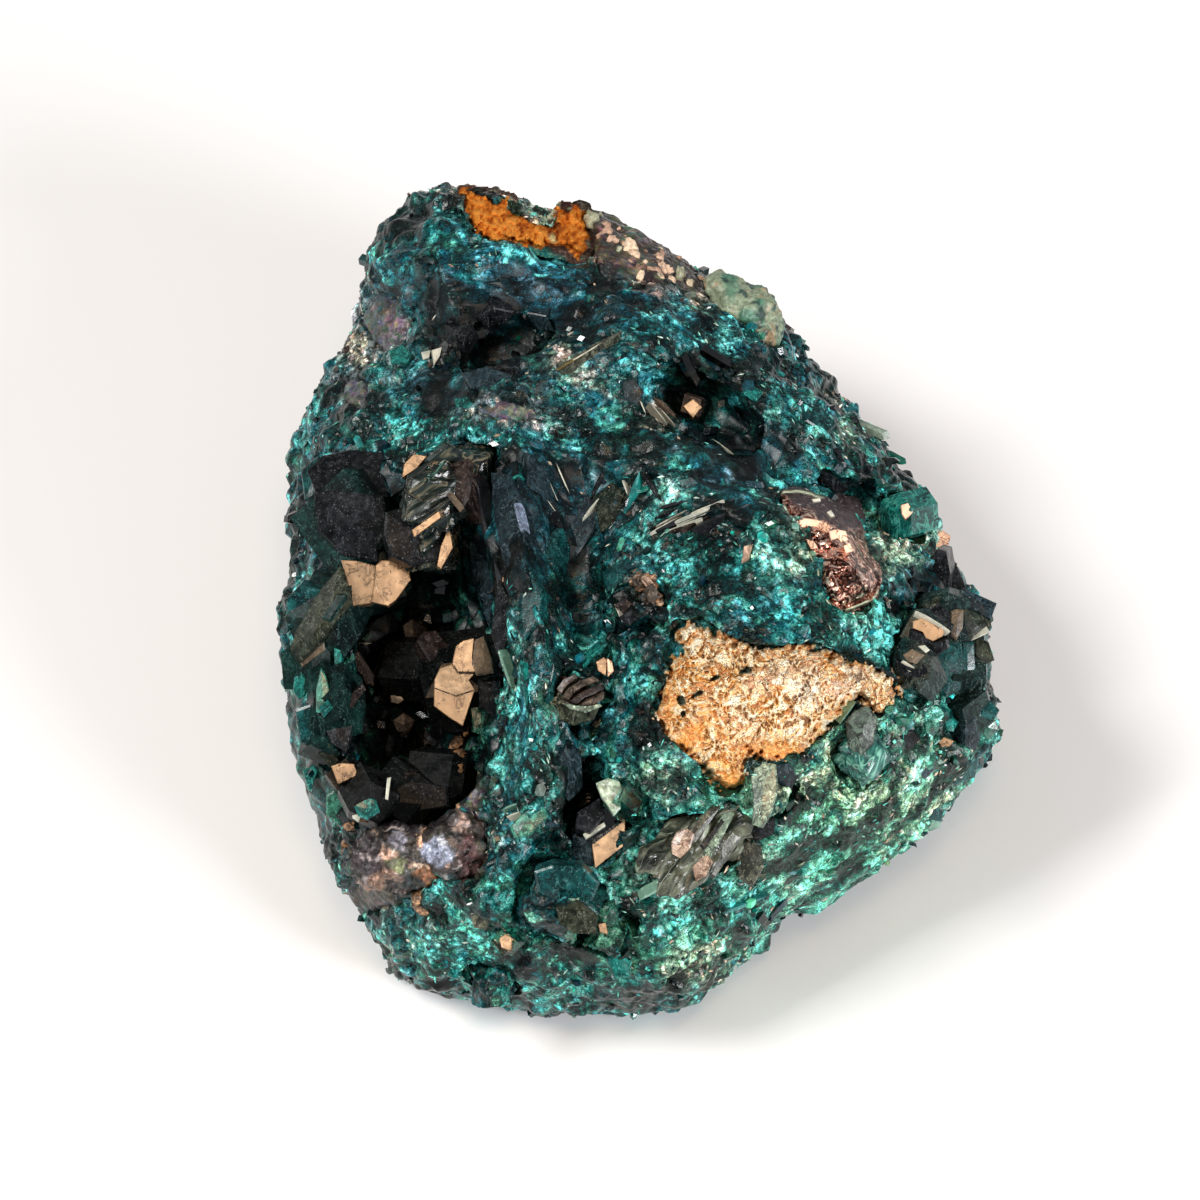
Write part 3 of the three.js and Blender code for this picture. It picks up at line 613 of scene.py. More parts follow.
# Open hollows, where the crystals are larger and their colour is darkened as painted shade, partly the darker large
# crystals.
HOLLOWS = [(412, 650, 62, 150, 0), (702, 392, 34, 44, -20), (742, 432, 24, 24, 0), (862, 484, 46, 12, 30), (578, 790, 22, 44, 0), (470, 345, 22, 12, 0)]
ROCK_TOP = [(574, 208), (590, 200), (615, 210), (640, 230), (665, 245), (690, 258), (707, 290), (700, 292), (660, 275), (600, 270), (585, 240)]
ROCK_LIP = [(352, 826), (372, 806), (402, 812), (430, 806), (455, 790), (470, 768), (484, 776), (478, 822), (482, 862), (470, 880), (452, 872), (424, 880), (404, 900), (372, 914), (350, 906), (345, 880), (354, 858)]
RUST_A = [(464, 190), (474, 194), (488, 197), (506, 201), (514, 214), (528, 222), (542, 228), (548, 239), (542, 246), (527, 242), (512, 238), (500, 242), (488, 240), (477, 230), (469, 214)]
RUST_B = [(552, 226), (560, 212), (572, 209), (583, 214), (587, 236), (584, 252), (578, 259), (567, 246), (556, 240)]
OCHRE = [
    (676, 635), (689, 623), (704, 626), (712, 636), (730, 638), (736, 645), (765, 652), (778, 644), (795, 645), (818, 650),
    (825, 658), (862, 663), (899, 676), (894, 696), (884, 717), (865, 699), (853, 694), (844, 705), (836, 718), (818, 732),
    (812, 749), (792, 758), (771, 761), (748, 749), (745, 782), (727, 790), (701, 764), (671, 740), (654, 717), (666, 699),
    (668, 676), (677, 661), (686, 650),
]
NODULE = [(785, 495), (800, 496), (828, 501), (853, 505), (857, 520), (858, 540), (861, 556), (872, 569), (876, 581), (873, 593), (860, 602), (844, 607), (831, 600), (824, 586), (820, 566), (810, 548), (799, 529)]


# Where the crystals are large and smooth-faced.
CALM = [
    (422, 240, 40, 40, 0), (548, 262, 60, 14, -8),
    (318, 690, 36, 170, 0), (345, 590, 50, 60, 0), (500, 295, 100, 34, -5), (512, 520, 52, 74, 0), (562, 560, 34, 62, 10),
    (360, 505, 56, 60, 0), (578, 790, 24, 40, 0), (960, 650, 44, 60, 0), (445, 388, 40, 16, -10), (740, 462, 60, 20, 22),
    (600, 960, 40, 20, 0), (530, 890, 46, 30, 0), (735, 508, 40, 14, -10), (625, 605, 26, 30, 0), (405, 285, 24, 30, 0),
]


# Where the druse as a whole is darker or paler, partly its own colour and partly painted light and shade where the face
# is lit, turned away or sunk: x, y, half-width, half-height, turn, factor.
SHADE = [
    (425, 275, 50, 62, 0, 0.62),     # the knob at the top left, turned away
    (520, 325, 120, 46, -6, 0.62),   # the dark basin below it
    (515, 520, 48, 74, 0, 0.72),     # shards right of the main vug
    (615, 580, 60, 58, 0, 0.78),     # the dark hollow in the middle
    (568, 735, 26, 60, 0, 0.72),     # the trench
    (315, 690, 26, 120, 0, 0.80),    # left wall of the vug
    (735, 540, 70, 44, 0, 1.45),     # the lit patch beside the nodule
    (516, 665, 18, 62, 0, 1.30),     # the rib
    (870, 770, 120, 84, -20, 1.25),  # the lit dome
    (700, 830, 90, 40, 0, 1.20),     # its foot
    (600, 985, 170, 30, 0, 0.62),    # the lower rim, turned away
]


def shade_at(x, y):
    f = np.zeros(len(x))
    for cx, cy, rx, ry, t, v in SHADE:
        f += math.log(v) * smooth(blob(x, y, cx, cy, rx, ry, t), 0.15, 0.75)
    return np.exp(f)


def calm_at(x, y):
    h = np.zeros(len(x))
    for cx, cy, rx, ry, t in CALM:
        h = np.maximum(h, smooth(blob(x, y, cx, cy, rx, ry, t), 0.30, 0.62))
    return h


def zone_weights(P, x, y):
    """How much of each palette colour a point of the specimen has, and whether it is on the face."""
    wx = x + 11 * noise(P, 1.6, 301) + 5 * noise(P, 0.6, 302)
    wy = y + 11 * noise(P, 1.6, 303) + 5 * noise(P, 0.6, 304)
    W = np.zeros((len(x), len(KEYS)))
    W[:, KEYS.index("D")] += 0.20
    W[:, KEYS.index("B")] += 0.05
    for cx, cy, rx, ry, turn, key, s in ZONES:
        W[:, KEYS.index(key)] += s * blob(wx, wy, cx, cy, rx, ry, turn)
    W = W**1.7
    W /= W.sum(1, keepdims=True)
    # away from the display face: broken rock with veins and patches of druse
    a = fbm(P, 11, 311)
    v = 1 - np.abs(fbm(P, 7, 312)) * 5
    B = np.zeros_like(W)
    B[:, KEYS.index("R")] = 0.55 + 0.5 * smooth(a, -0.1, 0.4)
    B[:, KEYS.index("O")] = 0.45 * smooth(fbm(P, 6, 313), -0.2, 0.4)
    B[:, KEYS.index("L")] = 0.25 * smooth(fbm(P, 4, 314), 0.0, 0.4)
    B[:, KEYS.index("D")] = 0.9 * smooth(-a, -0.1, 0.3)
    B[:, KEYS.index("G")] = 0.5 * smooth(-a, 0.05, 0.4) + 0.8 * np.clip(v, 0, 1)
    B[:, KEYS.index("T")] = 0.6 * np.clip(v, 0, 1) ** 3
    B /= B.sum(1, keepdims=True)
    return W, B


def face_share(P, N, x, y, d):
    """1 on the display face and its shoulders, 0 on the broken back and the flanks."""
    past = d - (-1.5 - 0.3 * (600 - y) / 15)
    near = smooth(past + 1.2 * noise(P, 3.0, 320), -6.0, -2.5)
    return np.maximum(near, smooth(N @ OUT + 0.10 * noise(P, 2.0, 321), -0.12, 0.12))


def druse_share(P, x, y, f):
    """1 where crystals coat the rock, 0 on bare rock."""
    g = np.ones(len(x))
    n = 7 * noise(P, 0.9, 331)
    for poly in (ROCK_TOP, ROCK_LIP):
        g *= smooth(edge_distance(x, y, poly) + n, -3, 4)
    for cx, cy, rx, ry, t in ((380, 320, 22, 32, 10), (352, 388, 15, 20, 20), (510, 411, 38, 11, -5), (425, 258, 11, 8, 0)):
        g *= 1 - 0.85 * smooth(blob(x, y, cx, cy, rx, ry, t) + 0.02 * n, 0.35, 0.55)
    back = smooth(-fbm(P, 11, 311) + 0.25 * noise(P, 2.5, 332), -0.05, 0.15)
    return g * f + back * (1 - f)


def in_hollow(x, y):
    h = np.zeros(len(x))
    for cx, cy, rx, ry, t in HOLLOWS:
        c, s = math.cos(math.radians(t)), math.sin(math.radians(t))
        u, v = (x - cx) * c - (y - cy) * s, (x - cx) * s + (y - cy) * c
        h = np.maximum(h, smooth(1.15 - np.hypot(u / rx, v / ry), 0.0, 0.3))
    return h


def pick(rng, W, mates=True):
    """One palette index per row of W, freckled."""
    c = np.cumsum(W**1.3 / (W**1.3).sum(1, keepdims=True), axis=1)
    k = (rng.random(len(W))[:, None] > c).sum(1).clip(0, len(KEYS) - 1)
    if mates:
        table = [np.array([KEYS.index(m) for m in MATES[key]]) for key in KEYS]
        for i in range(len(KEYS)):
            m = np.where(k == i)[0]
            k[m] = table[i][rng.integers(0, len(table[i]), len(m))]
    return k


# ------------------------------------------------------------------ the rock's skin
def joined_tree(names):
    bm = bmesh.new()
    for n in names:
        bm.from_mesh(NODES[n].data)
    t = BVHTree.FromBMesh(bm)
    bm.free()
    return t


def relief(P, bare):
    """Fine lie of the face over the CAD solid, in mm."""
    return 0.30 * noise(P, 3.0, 401) + 0.20 * noise(P, 1.5, 402) + 0.10 * bare * ridged(P, 1.0, 403)


def freckle(P, W, size, seed):
    """A palette index for every point, in ragged little patches."""
    wob = np.stack([noise(P, size * 1.3, seed + i) for i in range(3)], 1)
    cell = np.floor((P + 0.55 * size * wob) / size).astype(np.int64)
    u = (lattice(cell[:, 0], cell[:, 1], cell[:, 2], seed + 5) + 1) / 2
    v = (lattice(cell[:, 0], cell[:, 1], cell[:, 2], seed + 9) + 1) / 2
    return choose(W, u, v)


MATE_TABLE = np.array([[KEYS.index(MATES[key][i % len(MATES[key])]) for i in range(14)] for key in KEYS])


def choose(W, u, v):
    c = np.cumsum(W**1.3 / (W**1.3).sum(1, keepdims=True), axis=1)
    k = (u[:, None] > c).sum(1).clip(0, len(KEYS) - 1)
    return MATE_TABLE[k, (v * 13.99).astype(int)]


skin = remeshed("matrix_skin", ["matrix"], 0.36, relax=3)
P = coords(skin.data)
N = normals(skin.data)
x, y, d = chart(P)
face = face_share(P, N, x, y, d)
druse = druse_share(P, x, y, face)
hollow = in_hollow(x, y) * (face > 0.5)
bare = 1 - druse
rugged = relief(P, bare)
coarse = 0.5 * ridged(P, 4.0, 404) + 0.3 * noise(P, 1.6, 405)  # hackly broken back
lift = -0.22 - 0.50 * face * druse + face * rugged + (1 - face) * (coarse - 0.35)
lift += bare * face * (0.12 * ridged(P, 0.8, 406) + 0.1 * noise(P, 0.5, 407))
keep = smooth(P[:, 2], 0.05, 1.2)  # the face it stands on stays flat
P2 = P + N * (lift * keep)[:, None]
P2[:, 2] = np.maximum(P2[:, 2], 0.0)
set_coords(skin.data, P2)
W, B = zone_weights(P, x, y)
mix_w = W * face[:, None] + B * (1 - face[:, None])
k = freckle(P, mix_w, 0.62, 410)
tone = 0.55 * TONES[k] + 0.45 * (mix_w @ TONES)
tone *= (1 + 0.5 * noise(P, 0.9, 421))[:, None]
# darker where the relief sinks: painted shade in the low spots
tone *= (0.55 + 0.45 * smooth(rugged, -0.35, 0.3))[:, None]
# painted shade in the hollows
tone *= np.where(hollow > 0.4, 0.35, 1.0)[:, None]
paint(skin.data, "tone", np.clip(tone, 0.001, 0.9))
paint(skin.data, "bare", np.clip(bare * keep, 0, 1))

k_ = Nodes("host_rock_skin")
tone_in = k_.attribute("tone", "Color")
grain = k_.noise(0.5, 4, 0.65, 0.6)
speck = k_.voronoi(0.42, out="Color")
shade = k_.mix(0.55, tone_in, k_.mix(1.0, tone_in, speck, "MULTIPLY"))
shade = k_.mix(1.0, shade, k_.ramp(grain, [(0.30, 0.30), (0.52, 1.0), (0.70, 1.9)]), "MULTIPLY")
bare_in = k_.attribute("bare", "Fac")
crumb = k_.ramp(k_.noise(0.32, 3, 0.6), [(0.60, 0.0), (0.70, 1.0)])
shade = k_.mix(k_.math("MULTIPLY", crumb, k_.math("MULTIPLY", bare_in, 0.5)), shade, (0.42, 0.26, 0.18))
k_.set(Base_Color=shade, IOR=1.55)
k_.set(Roughness=k_.ramp(speck, [(0.2, 0.28), (0.8, 0.62)]))
b1 = k_.bump(k_.voronoi(0.45), 0.55, 0.18)
b2 = k_.bump(grain, 0.5, 0.12, b1)
k_.set(Normal=b2)
skin.data.materials.append(k_.mat)
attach(skin, "root")
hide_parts("matrix")


# ------------------------------------------------------------------ the druse coat
def flow_at(x, y):
    """Direction and strength of the local streaks."""
    along, strength = np.zeros((len(x), 3)), np.zeros(len(x))
    for cx, cy, rx, ry, deg, s in FLOW:
        w = s * blob(x, y, cx, cy, rx, ry)
        v = math.cos(math.radians(deg)) * RIGHT - math.sin(math.radians(deg)) * UP
        along += w[:, None] * v
        strength = np.maximum(strength, w)
    along /= np.linalg.norm(along, axis=1, keepdims=True) + 1e-9
    return along, np.clip(strength * 1.3, 0, 1)


def intergrown(P, cell, seed, along=None, pull=None):
    """Crystals grown through one another, one in each jittered cell: height above the
    surface in cells, who owns the point, nearness to an edge of its own facets and
    to the seam with its neighbour."""
    Q = P / cell
    F = np.floor(Q).astype(np.int64)
    best, second = np.full(len(Q), -9.0), np.full(len(Q), -9.0)
    who, crest = np.zeros(len(Q), np.int64), np.zeros(len(Q))
    for c in range(27):
        G = F + np.array([c % 3 - 1, (c // 3) % 3 - 1, c // 9 - 1])
        h = [lattice(G[:, 0], G[:, 1], G[:, 2], seed + s) for s in range(10)]
        o = Q - (G + 0.5 + 0.45 * np.stack(h[:3], 1))
        if along is not None:
            o = o - along * (pull * (o * along).sum(1))[:, None]
        a = np.stack(h[3:6], 1)
        a /= np.linalg.norm(a, axis=1, keepdims=True) + 1e-9
        b = np.cross(a, np.stack(h[6:9], 1))
        b /= np.linalg.norm(b, axis=1, keepdims=True) + 1e-9
        t = np.cross(a, b)
        oa, ob, ot = 0.63 * (o * a).sum(1), 0.777 * (o * b).sum(1), 0.777 * (o * t).sum(1)
        g = np.stack([np.abs(oa + ob), np.abs(oa - 0.5 * ob + 0.866 * ot), np.abs(oa - 0.5 * ob - 0.866 * ot)], 1)
        g.sort(axis=1)
        height = 0.62 + 0.26 * h[9] - g[:, 2]
        win = height > best
        second = np.where(win, best, np.maximum(second, height))
        best = np.where(win, height, best)
        crest = np.where(win, g[:, 2] - g[:, 1], crest)
        who = np.where(win, (G[:, 0] * 7919 + G[:, 1] * 104729 + G[:, 2] * 1299709) & 0xFFFFFFF, who)
    return best, who, crest, best - second


def chance(who, seed):
    return (lattice(who, who >> 7, who >> 13, seed) + 1) / 2


def quads_of(me):
    F = np.zeros(len(me.polygons) * 4, np.int32)
    me.loops.foreach_get("vertex_index", F)
    return F.reshape(-1, 4)


shell = remeshed("coat_source", ["matrix"], 0.15, relax=3)
P = coords(shell.data)
N = normals(shell.data)
Q4 = quads_of(shell.data)
bpy.data.objects.remove(shell)
x, y, d = chart(P)
face = face_share(P, N, x, y, d)
use = (face > 0.15) & (P[:, 2] > 0.25)
Q4 = Q4[use[Q4].all(1)]
used = np.unique(Q4)
back_ref = np.zeros(len(P), np.int64)
back_ref[used] = np.arange(len(used))
P, N, Q4 = P[used], N[used], back_ref[Q4]
x, y, d, face = x[used], y[used], d[used], face[used]
druse = druse_share(P, x, y, face)
hollow = in_hollow(x, y)
along, pull = flow_at(x, y)
warp = np.stack([noise(P, 1.1, 501), noise(P, 1.1, 502), noise(P, 1.1, 503)], 1)
W, B = zone_weights(P, x, y)


def share(letters):
    return sum(W[:, KEYS.index(c)] for c in letters)


def where_needed(mask, *args):
    """intergrown() on the masked points only."""
    i = np.where(mask)[0]
    out = [np.full(len(mask), -0.5), np.zeros(len(mask), np.int64), np.zeros(len(mask)), np.zeros(len(mask))]
    pick_ = [a[i] if isinstance(a, np.ndarray) else a for a in args]
    for o, r in zip(out, intergrown(*pick_)):
        o[i] = r
    return out


def streaks(size, length, seed, taps=5):
    """Noise drawn out along the local grain."""
    total = np.zeros(len(P))
    for t in np.linspace(-length, length, taps):
        total += noise(P + along * (pull * t)[:, None], size, seed)
    return total / total.std()


def ranked(v):
    r = np.empty(len(v))
    r[np.argsort(v, kind="stable")] = np.arange(len(v)) / len(v)
    return r


def spread_out(v):
    return (v - v.mean()) / v.std()


# which size of crystal leads: fine where the druse is bright, coarse where it is dark
calm = calm_at(x, y)
dark_share = share("KS")
n4 = noise(P, 3.4, 521)
w_big = smooth(np.maximum(dark_share, calm) + 0.22 * n4, 0.42, 0.66) * 0.9 + hollow
w_mid = smooth(dark_share + share("DLG") * 0.6 + 0.36 * noise(P, 2.6, 522), 0.22, 0.50)
w_big = np.clip(w_big, 0, 1)
w_mid = np.clip(w_mid, 0, 1) * (1 - w_big)
w_fine = 1 - w_big - w_mid
fine, who1, crest1, seam1 = where_needed(w_fine > 0.02, P + 0.12 * warp, 0.72, 511, along, 0.72 * pull)
mid_, who2, crest2, seam2 = where_needed(w_mid > 0.02, P + 0.20 * warp, 1.35, 531, along, 0.72 * pull)
big_, who3, crest3, seam3 = where_needed(w_big > 0.02, P + 0.20 * warp, 2.5, 551, along, 0.70 * pull)
folds = streaks(1.1, 1.8, 545)
hgt = 0.72 * 0.58 * fine * w_fine + 1.35 * 0.58 * mid_ * w_mid + 2.5 * 0.42 * big_ * w_big
hgt += 0.05 * noise(P, 0.35, 541) * (1 - w_big) - 0.12 * w_big + 0.13 * np.clip(folds, -2, 2) * (1 - 0.6 * w_big)
lift = -0.36 + relief(P, 0 * x) + hgt - 0.55 * (1 - druse) - 0.6 * (1 - smooth(face, 0.15, 0.6))
lift *= smooth(P[:, 2], 0.1, 1.0)
P2 = P + N * lift[:, None]
P2[:, 2] = np.maximum(P2[:, 2], 0.02)
lead = np.argmax(np.stack([w_fine, w_mid, w_big]), axis=0)
who = np.choose(lead, [who1, who2, who3])
crest = np.choose(lead, [crest1 * 0.72, crest2 * 1.35, crest3 * 2.5])
seam = np.choose(lead, [seam1 * 0.72, seam2 * 1.35, seam3 * 2.5])
# colour runs in drawn-out patches, broken by the crystals
c1, c2 = chance(who, 61), chance(who, 62)
u_ = ranked(1.0 * streaks(0.45, 1.3, 581) + 0.9 * streaks(1.3, 2.4, 582) + (0.8 - 0.3 * calm) * spread_out(c1))
v_ = ranked(streaks(0.65, 1.3, 583) + 0.8 * spread_out(c2))
k = choose(W, u_**1.25, v_)
MIXING = np.array([[MATES[a].count(b) / len(MATES[a]) for b in KEYS] for a in KEYS])
lean = along * pull[:, None]
soft_share = np.zeros((len(P), len(KEYS)))
for i in range(len(KEYS)):
    field = 0.8 * noise(P + 0.5 * warp + lean * 0.5, 1.25, 700 + i) + 0.8 * noise(P + 0.5 * warp - lean * 0.5, 1.25, 700 + i) + 0.7 * noise(P + 0.2 * warp, 0.55, 720 + i)
    soft_share[:, i] = (W @ MIXING[:, i]) * np.exp(3.2 * field)
soft_share /= soft_share.sum(1, keepdims=True)
tone = 0.48 * TONES[k] + 0.52 * (soft_share @ TONES)
tone *= np.exp(0.55 * (chance(who, 63) - 0.5))[:, None]
tone *= np.exp(0.42 * streaks(0.30, 0.8, 584))[:, None]
# darker at the seams between crystals: painted shade in the crevices
tone *= (0.30 + 0.70 * smooth(seam, 0.0, 0.13 + 0.10 * (lead == 2)))[:, None]
patchy = smooth(fbm(P, 2.2, 561, 3), -0.36, 0.34)
tone *= (0.12 + 1.50 * patchy**1.3)[:, None]
# painted shade in the hollows
tone *= (1 - 0.72 * hollow)[:, None]
light = (tone @ np.array([0.3, 0.5, 0.2]))[:, None]
# rim: a painted highlight along the crystal edges
rim = np.exp(-crest / 0.05) * smooth(seam, 0.02, 0.10) * (chance(who, 64) > 0.30) * (1 - 0.85 * hollow) * (1 - 0.6 * calm)
tone = tone * (1 + 1.5 * rim[:, None]) + rim[:, None] * np.array([0.20, 0.42, 0.33]) * np.clip(light * 6 - 0.06, 0.0, 1)
# painted light and shade from SHADE, partly the druse's own darker and paler stretches
tone *= (0.65 * shade_at(x + 6 * n4, y - 6 * n4))[:, None]
tone *= 1 + share("SDBTMG")[:, None] * np.array([-0.45, 0.05, 0.19])
green_side = np.clip(blob(x, y, 860, 820, 150, 100, -20) + 0.7 * blob(x, y, 600, 950, 240, 60, -8) + 0.6 * blob(x, y, 316, 720, 40, 140, 0), 0, 1)
blue_side = np.clip(blob(x, y, 540, 310, 190, 90, -8) + 0.5 * blob(x, y, 760, 380, 100, 60, 45), 0, 1)
tone *= np.stack([1 - 0.52 * green_side * smooth(0.16 - light[:, 0], 0.0, 0.13), 1 + 0.02 * green_side, 1 - 0.20 * green_side + 0.16 * blue_side], 1)
tone *= (np.clip(light / 0.085, 0.05, 6.0) ** 0.12)
tone = np.clip(tone, 0.0008, 0.9)
soft = np.clip(0.25 + 0.75 * dark_share, 0, 1)

k_ = Nodes("druse_coat")
tone_in = k_.attribute("tone", "Color")
soft_in = k_.attribute("soft")
cloud = k_.ramp(k_.noise(0.34, 4, 0.65, 0.8), [(0.34, 0.16), (0.50, 0.95), (0.66, 2.7)])
swirl = k_.ramp(k_.noise(0.50, 2, 0.5, 2.2), [(0.470, 0.0), (0.486, 1.0), (0.500, 1.0), (0.516, 0.0)])
where = k_.ramp(k_.noise(1.6, 3, 0.6), [(0.42, 0.0), (0.56, 1.0)])
bright = k_.mix(1.0, k_.mix(1.0, tone_in, (3.3, 3.3, 3.2), "MULTIPLY"), (0.050, 0.090, 0.070), "ADD")
dark_swirl = k_.ramp(k_.noise(0.50, 2, 0.5, 1.6), [(0.450, 1.0), (0.476, 0.08), (0.505, 0.08), (0.530, 1.0)])
body_ = k_.mix(1.0, k_.mix(1.0, tone_in, cloud, "MULTIPLY"), dark_swirl, "MULTIPLY")
body_ = k_.mix(k_.math("MULTIPLY", k_.math("MULTIPLY", swirl, where), k_.math("SUBTRACT", 1.0, soft_in, True)), body_, bright)
glow = k_.add("ShaderNodeRGBToBW", {"Color": body_}).outputs[0]
body_ = k_.mix(k_.ramp(glow, [(0.010, 1.0), (0.075, 0.0)]), body_, k_.mix(1.0, body_, (0.70, 1.0, 1.0), "MULTIPLY"))
body_ = k_.mix(k_.ramp(glow, [(0.11, 0.0), (0.42, 1.0)]), body_, k_.mix(1.0, body_, (0.090, 0.008, 0.016), "ADD"))
mote = k_.ramp(k_.noise(0.15, 2, 0.5, 0.6), [(0.665, 0.0), (0.700, 0.9)])
k_.set(Base_Color=k_.mix(mote, body_, k_.mix(1.0, k_.mix(1.0, tone_in, (3.6, 3.3, 3.0), "MULTIPLY"), (0.045, 0.085, 0.075), "ADD")), IOR=1.66)
k_.bsdf.inputs["Specular IOR Level"].default_value = 0.17
rough_n = k_.ramp(k_.noise(0.6, 3), [(0.35, 0.08), (0.65, 0.30)])
k_.set(Roughness=k_.math("ADD", rough_n, k_.math("MULTIPLY", soft_in, 0.22)))
k_.set(Normal=k_.bump(k_.noise(0.16, 3, 0.65), 0.35, 0.05))
COAT = k_.mat
Q4 = Q4[(druse[Q4] > 0.04).any(1)]
centre_x = x[Q4].mean(1)
cuts = np.quantile(centre_x, [0, 0.34, 0.67, 1.0])
for i, (lo, hi) in enumerate(zip(cuts[:-1], cuts[1:])):
    part = Q4[(centre_x >= lo) & ((centre_x < hi) | (i == 2))]
    v = np.unique(part)
    ref = np.zeros(len(P), np.int64)
    ref[v] = np.arange(len(v))
    ob = new_object(f"druse_coat_{'abc'[i]}", P2[v], ref[part].ravel(), np.full(len(part), 4))
    paint(ob.data, "tone", tone[v])
    paint(ob.data, "soft", soft[v])
    ob.data.materials.append(COAT)
    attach(ob, "root")


coat_points = (P2, N, x, y, face, hollow, W, druse)


# ------------------------------------------------------------------ joined crystals
def templates():
    """Ring corners j = 0..5; a hexagonal prism with three rhombohedron faces at each end, and a bare rhombohedron."""
    prism = [(0, 7, 2, 3), (0, 3, 4, 5), (0, 5, 6, 7)]
    prism += [(1, 10, 9, 8), (1, 12, 11, 10), (1, 8, 13, 12)]
    prism += [(8 + j, 8 + (j + 1) % 6, 2 + (j + 1) % 6, 2 + j) for j in range(6)]
    grain = [(0, 7, 2, 3), (0, 3, 4, 5), (0, 5, 6, 7), (1, 4, 3, 2), (1, 6, 5, 4), (1, 2, 7, 6)]
    return np.array(prism), np.array(grain)


PRISM, GRAIN = templates()
POLE = 1.233


def crystal_cloud(name, C, A, r, h, squeeze, spin, colour, material, kind="prism", tip_light=0.35):
    """One mesh of crystals: centres C and axes A (mm), radius r, half-length h, squeeze (n, 2), colour (n, 3)."""
    n = len(C)
    A = A / np.linalg.norm(A, axis=1, keepdims=True)
    ref = np.where(np.abs(A[:, 2:3]) < 0.9, np.array([[0.0, 0.0, 1.0]]), np.array([[1.0, 0.0, 0.0]]))
    X = np.cross(ref, A)
    X /= np.linalg.norm(X, axis=1, keepdims=True)
    Y = np.cross(A, X)
    c, s = np.cos(spin)[:, None], np.sin(spin)[:, None]
    X, Y = X * c + Y * s, Y * c - X * s
    j = np.arange(6)
    cx, cy = np.cos(np.pi / 3 * j), np.sin(np.pi / 3 * j)
    even = j % 2 == 0
    count = 14 if kind == "prism" else 8
    L = np.zeros((n, count, 3))
    if kind == "prism":
        L[:, 0, 2], L[:, 1, 2] = h, -h
        for q in range(6):
            L[:, 2 + q, 0] = r * cx[q] * squeeze[:, 0]
            L[:, 2 + q, 1] = r * cy[q] * squeeze[:, 1]
            L[:, 2 + q, 2] = h - POLE * r * (1.0 if even[q] else 0.5)
            L[:, 8 + q, 0], L[:, 8 + q, 1] = L[:, 2 + q, 0], L[:, 2 + q, 1]
            L[:, 8 + q, 2] = -h + POLE * r * (0.5 if even[q] else 1.0)
        F = PRISM
    else:
        L[:, 0, 2], L[:, 1, 2] = h, -h
        for q in range(6):
            L[:, 2 + q, 0] = r * cx[q] * squeeze[:, 0]
            L[:, 2 + q, 1] = r * cy[q] * squeeze[:, 1]
            L[:, 2 + q, 2] = h * (-1 / 3 if even[q] else 1 / 3)
        F = GRAIN
    V = C[:, None, :] + L[:, :, 0:1] * X[:, None, :] + L[:, :, 1:2] * Y[:, None, :] + L[:, :, 2:3] * A[:, None, :]
    V[:, :, 2] = np.maximum(V[:, :, 2], 0.02)
    faces = (F[None, :, :] + (np.arange(n) * count)[:, None, None]).reshape(-1)
    ob = new_object(name, V.reshape(-1, 3), faces, np.full(n * len(F), 4))
    up_share = (L[:, :, 2] / h[:, None] + 1) / 2
    tint = colour[:, None, :] * (1 - tip_light + 2 * tip_light * up_share)[:, :, None]
    if len(ob.data.vertices) == n * count:
        paint(ob.data, "tint", np.clip(tint.reshape(-1, 3), 0, 1))
    ob.data.materials.append(material)
    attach(ob, "root")
    return ob


def druse_material(name, transmission, rough, gain=1.0, ior=1.66):
    """Small dioptase crystals: coloured through, with a clouded tint and fine bumps."""
    k = Nodes(name)
    tint = k.attribute("tint", "Color")
    cloud = k.ramp(k.noise(0.45, 3, 0.6, 0.5), [(0.32, 0.45 * gain), (0.55, 1.0 * gain), (0.72, 1.7 * gain)])
    k.set(Base_Color=k.mix(1.0, tint, cloud, "MULTIPLY"), IOR=ior, Transmission_Weight=transmission)
    k.set(Roughness=k.ramp(k.noise(0.7, 2), [(0.35, rough * 0.5), (0.65, rough * 1.5)]))
    k.set(Normal=k.bump(k.noise(0.14, 3, 0.6), 0.3, 0.03))
    return k.mat


DRUSE_DARK = druse_material("druse_dark", 0.25, 0.14)
DRUSE_TEAL = druse_material("druse_teal", 0.30, 0.18)
DRUSE_PALE = druse_material("druse_pale", 0.15, 0.30)

others = [n for n in NODES if n != "matrix"]
other_tree = joined_tree(others)
skin_tree = tree_of(skin)


def triangles_of(ob):
    me = ob.data
    me.calc_loop_triangles()
    T = np.zeros(len(me.loop_triangles) * 3, np.int32)
    me.loop_triangles.foreach_get("vertices", T)
    return T.reshape(-1, 3)


T = triangles_of(skin)
V = coords(skin.data)
VN = normals(skin.data)
tri = V[T]
cross = np.cross(tri[:, 1] - tri[:, 0], tri[:, 2] - tri[:, 0])
area = 0.5 * np.linalg.norm(cross, axis=1)
mid = tri.mean(1)
mx, my, md = chart(mid)
mnorm = cross / (np.linalg.norm(cross, axis=1, keepdims=True) + 1e-12)
mface = face_share(mid, mnorm, mx, my, md)
mdruse = druse_share(mid, mx, my, mface)


def scatter(rng, count, density):
    p = area * density
    t = rng.choice(len(T), count, p=p / p.sum())
    u, v = rng.random(count), rng.random(count)
    f = u + v > 1
    u[f], v[f] = 1 - u[f], 1 - v[f]
    Q = tri[t, 0] + u[:, None] * (tri[t, 1] - tri[t, 0]) + v[:, None] * (tri[t, 2] - tri[t, 0])
    n = VN[T[t]].mean(1)
    n /= np.linalg.norm(n, axis=1, keepdims=True) + 1e-9
    return Q, n, t


def clear_of(tree, Q, reach):
    """Which points are farther than reach from the tree's faces."""
    out = np.ones(len(Q), bool)
    for i, q in enumerate(Q):
        hit = tree.find_nearest(Vector(q * MM), float(reach[i]) * MM)
        out[i] = hit[0] is None
    return out


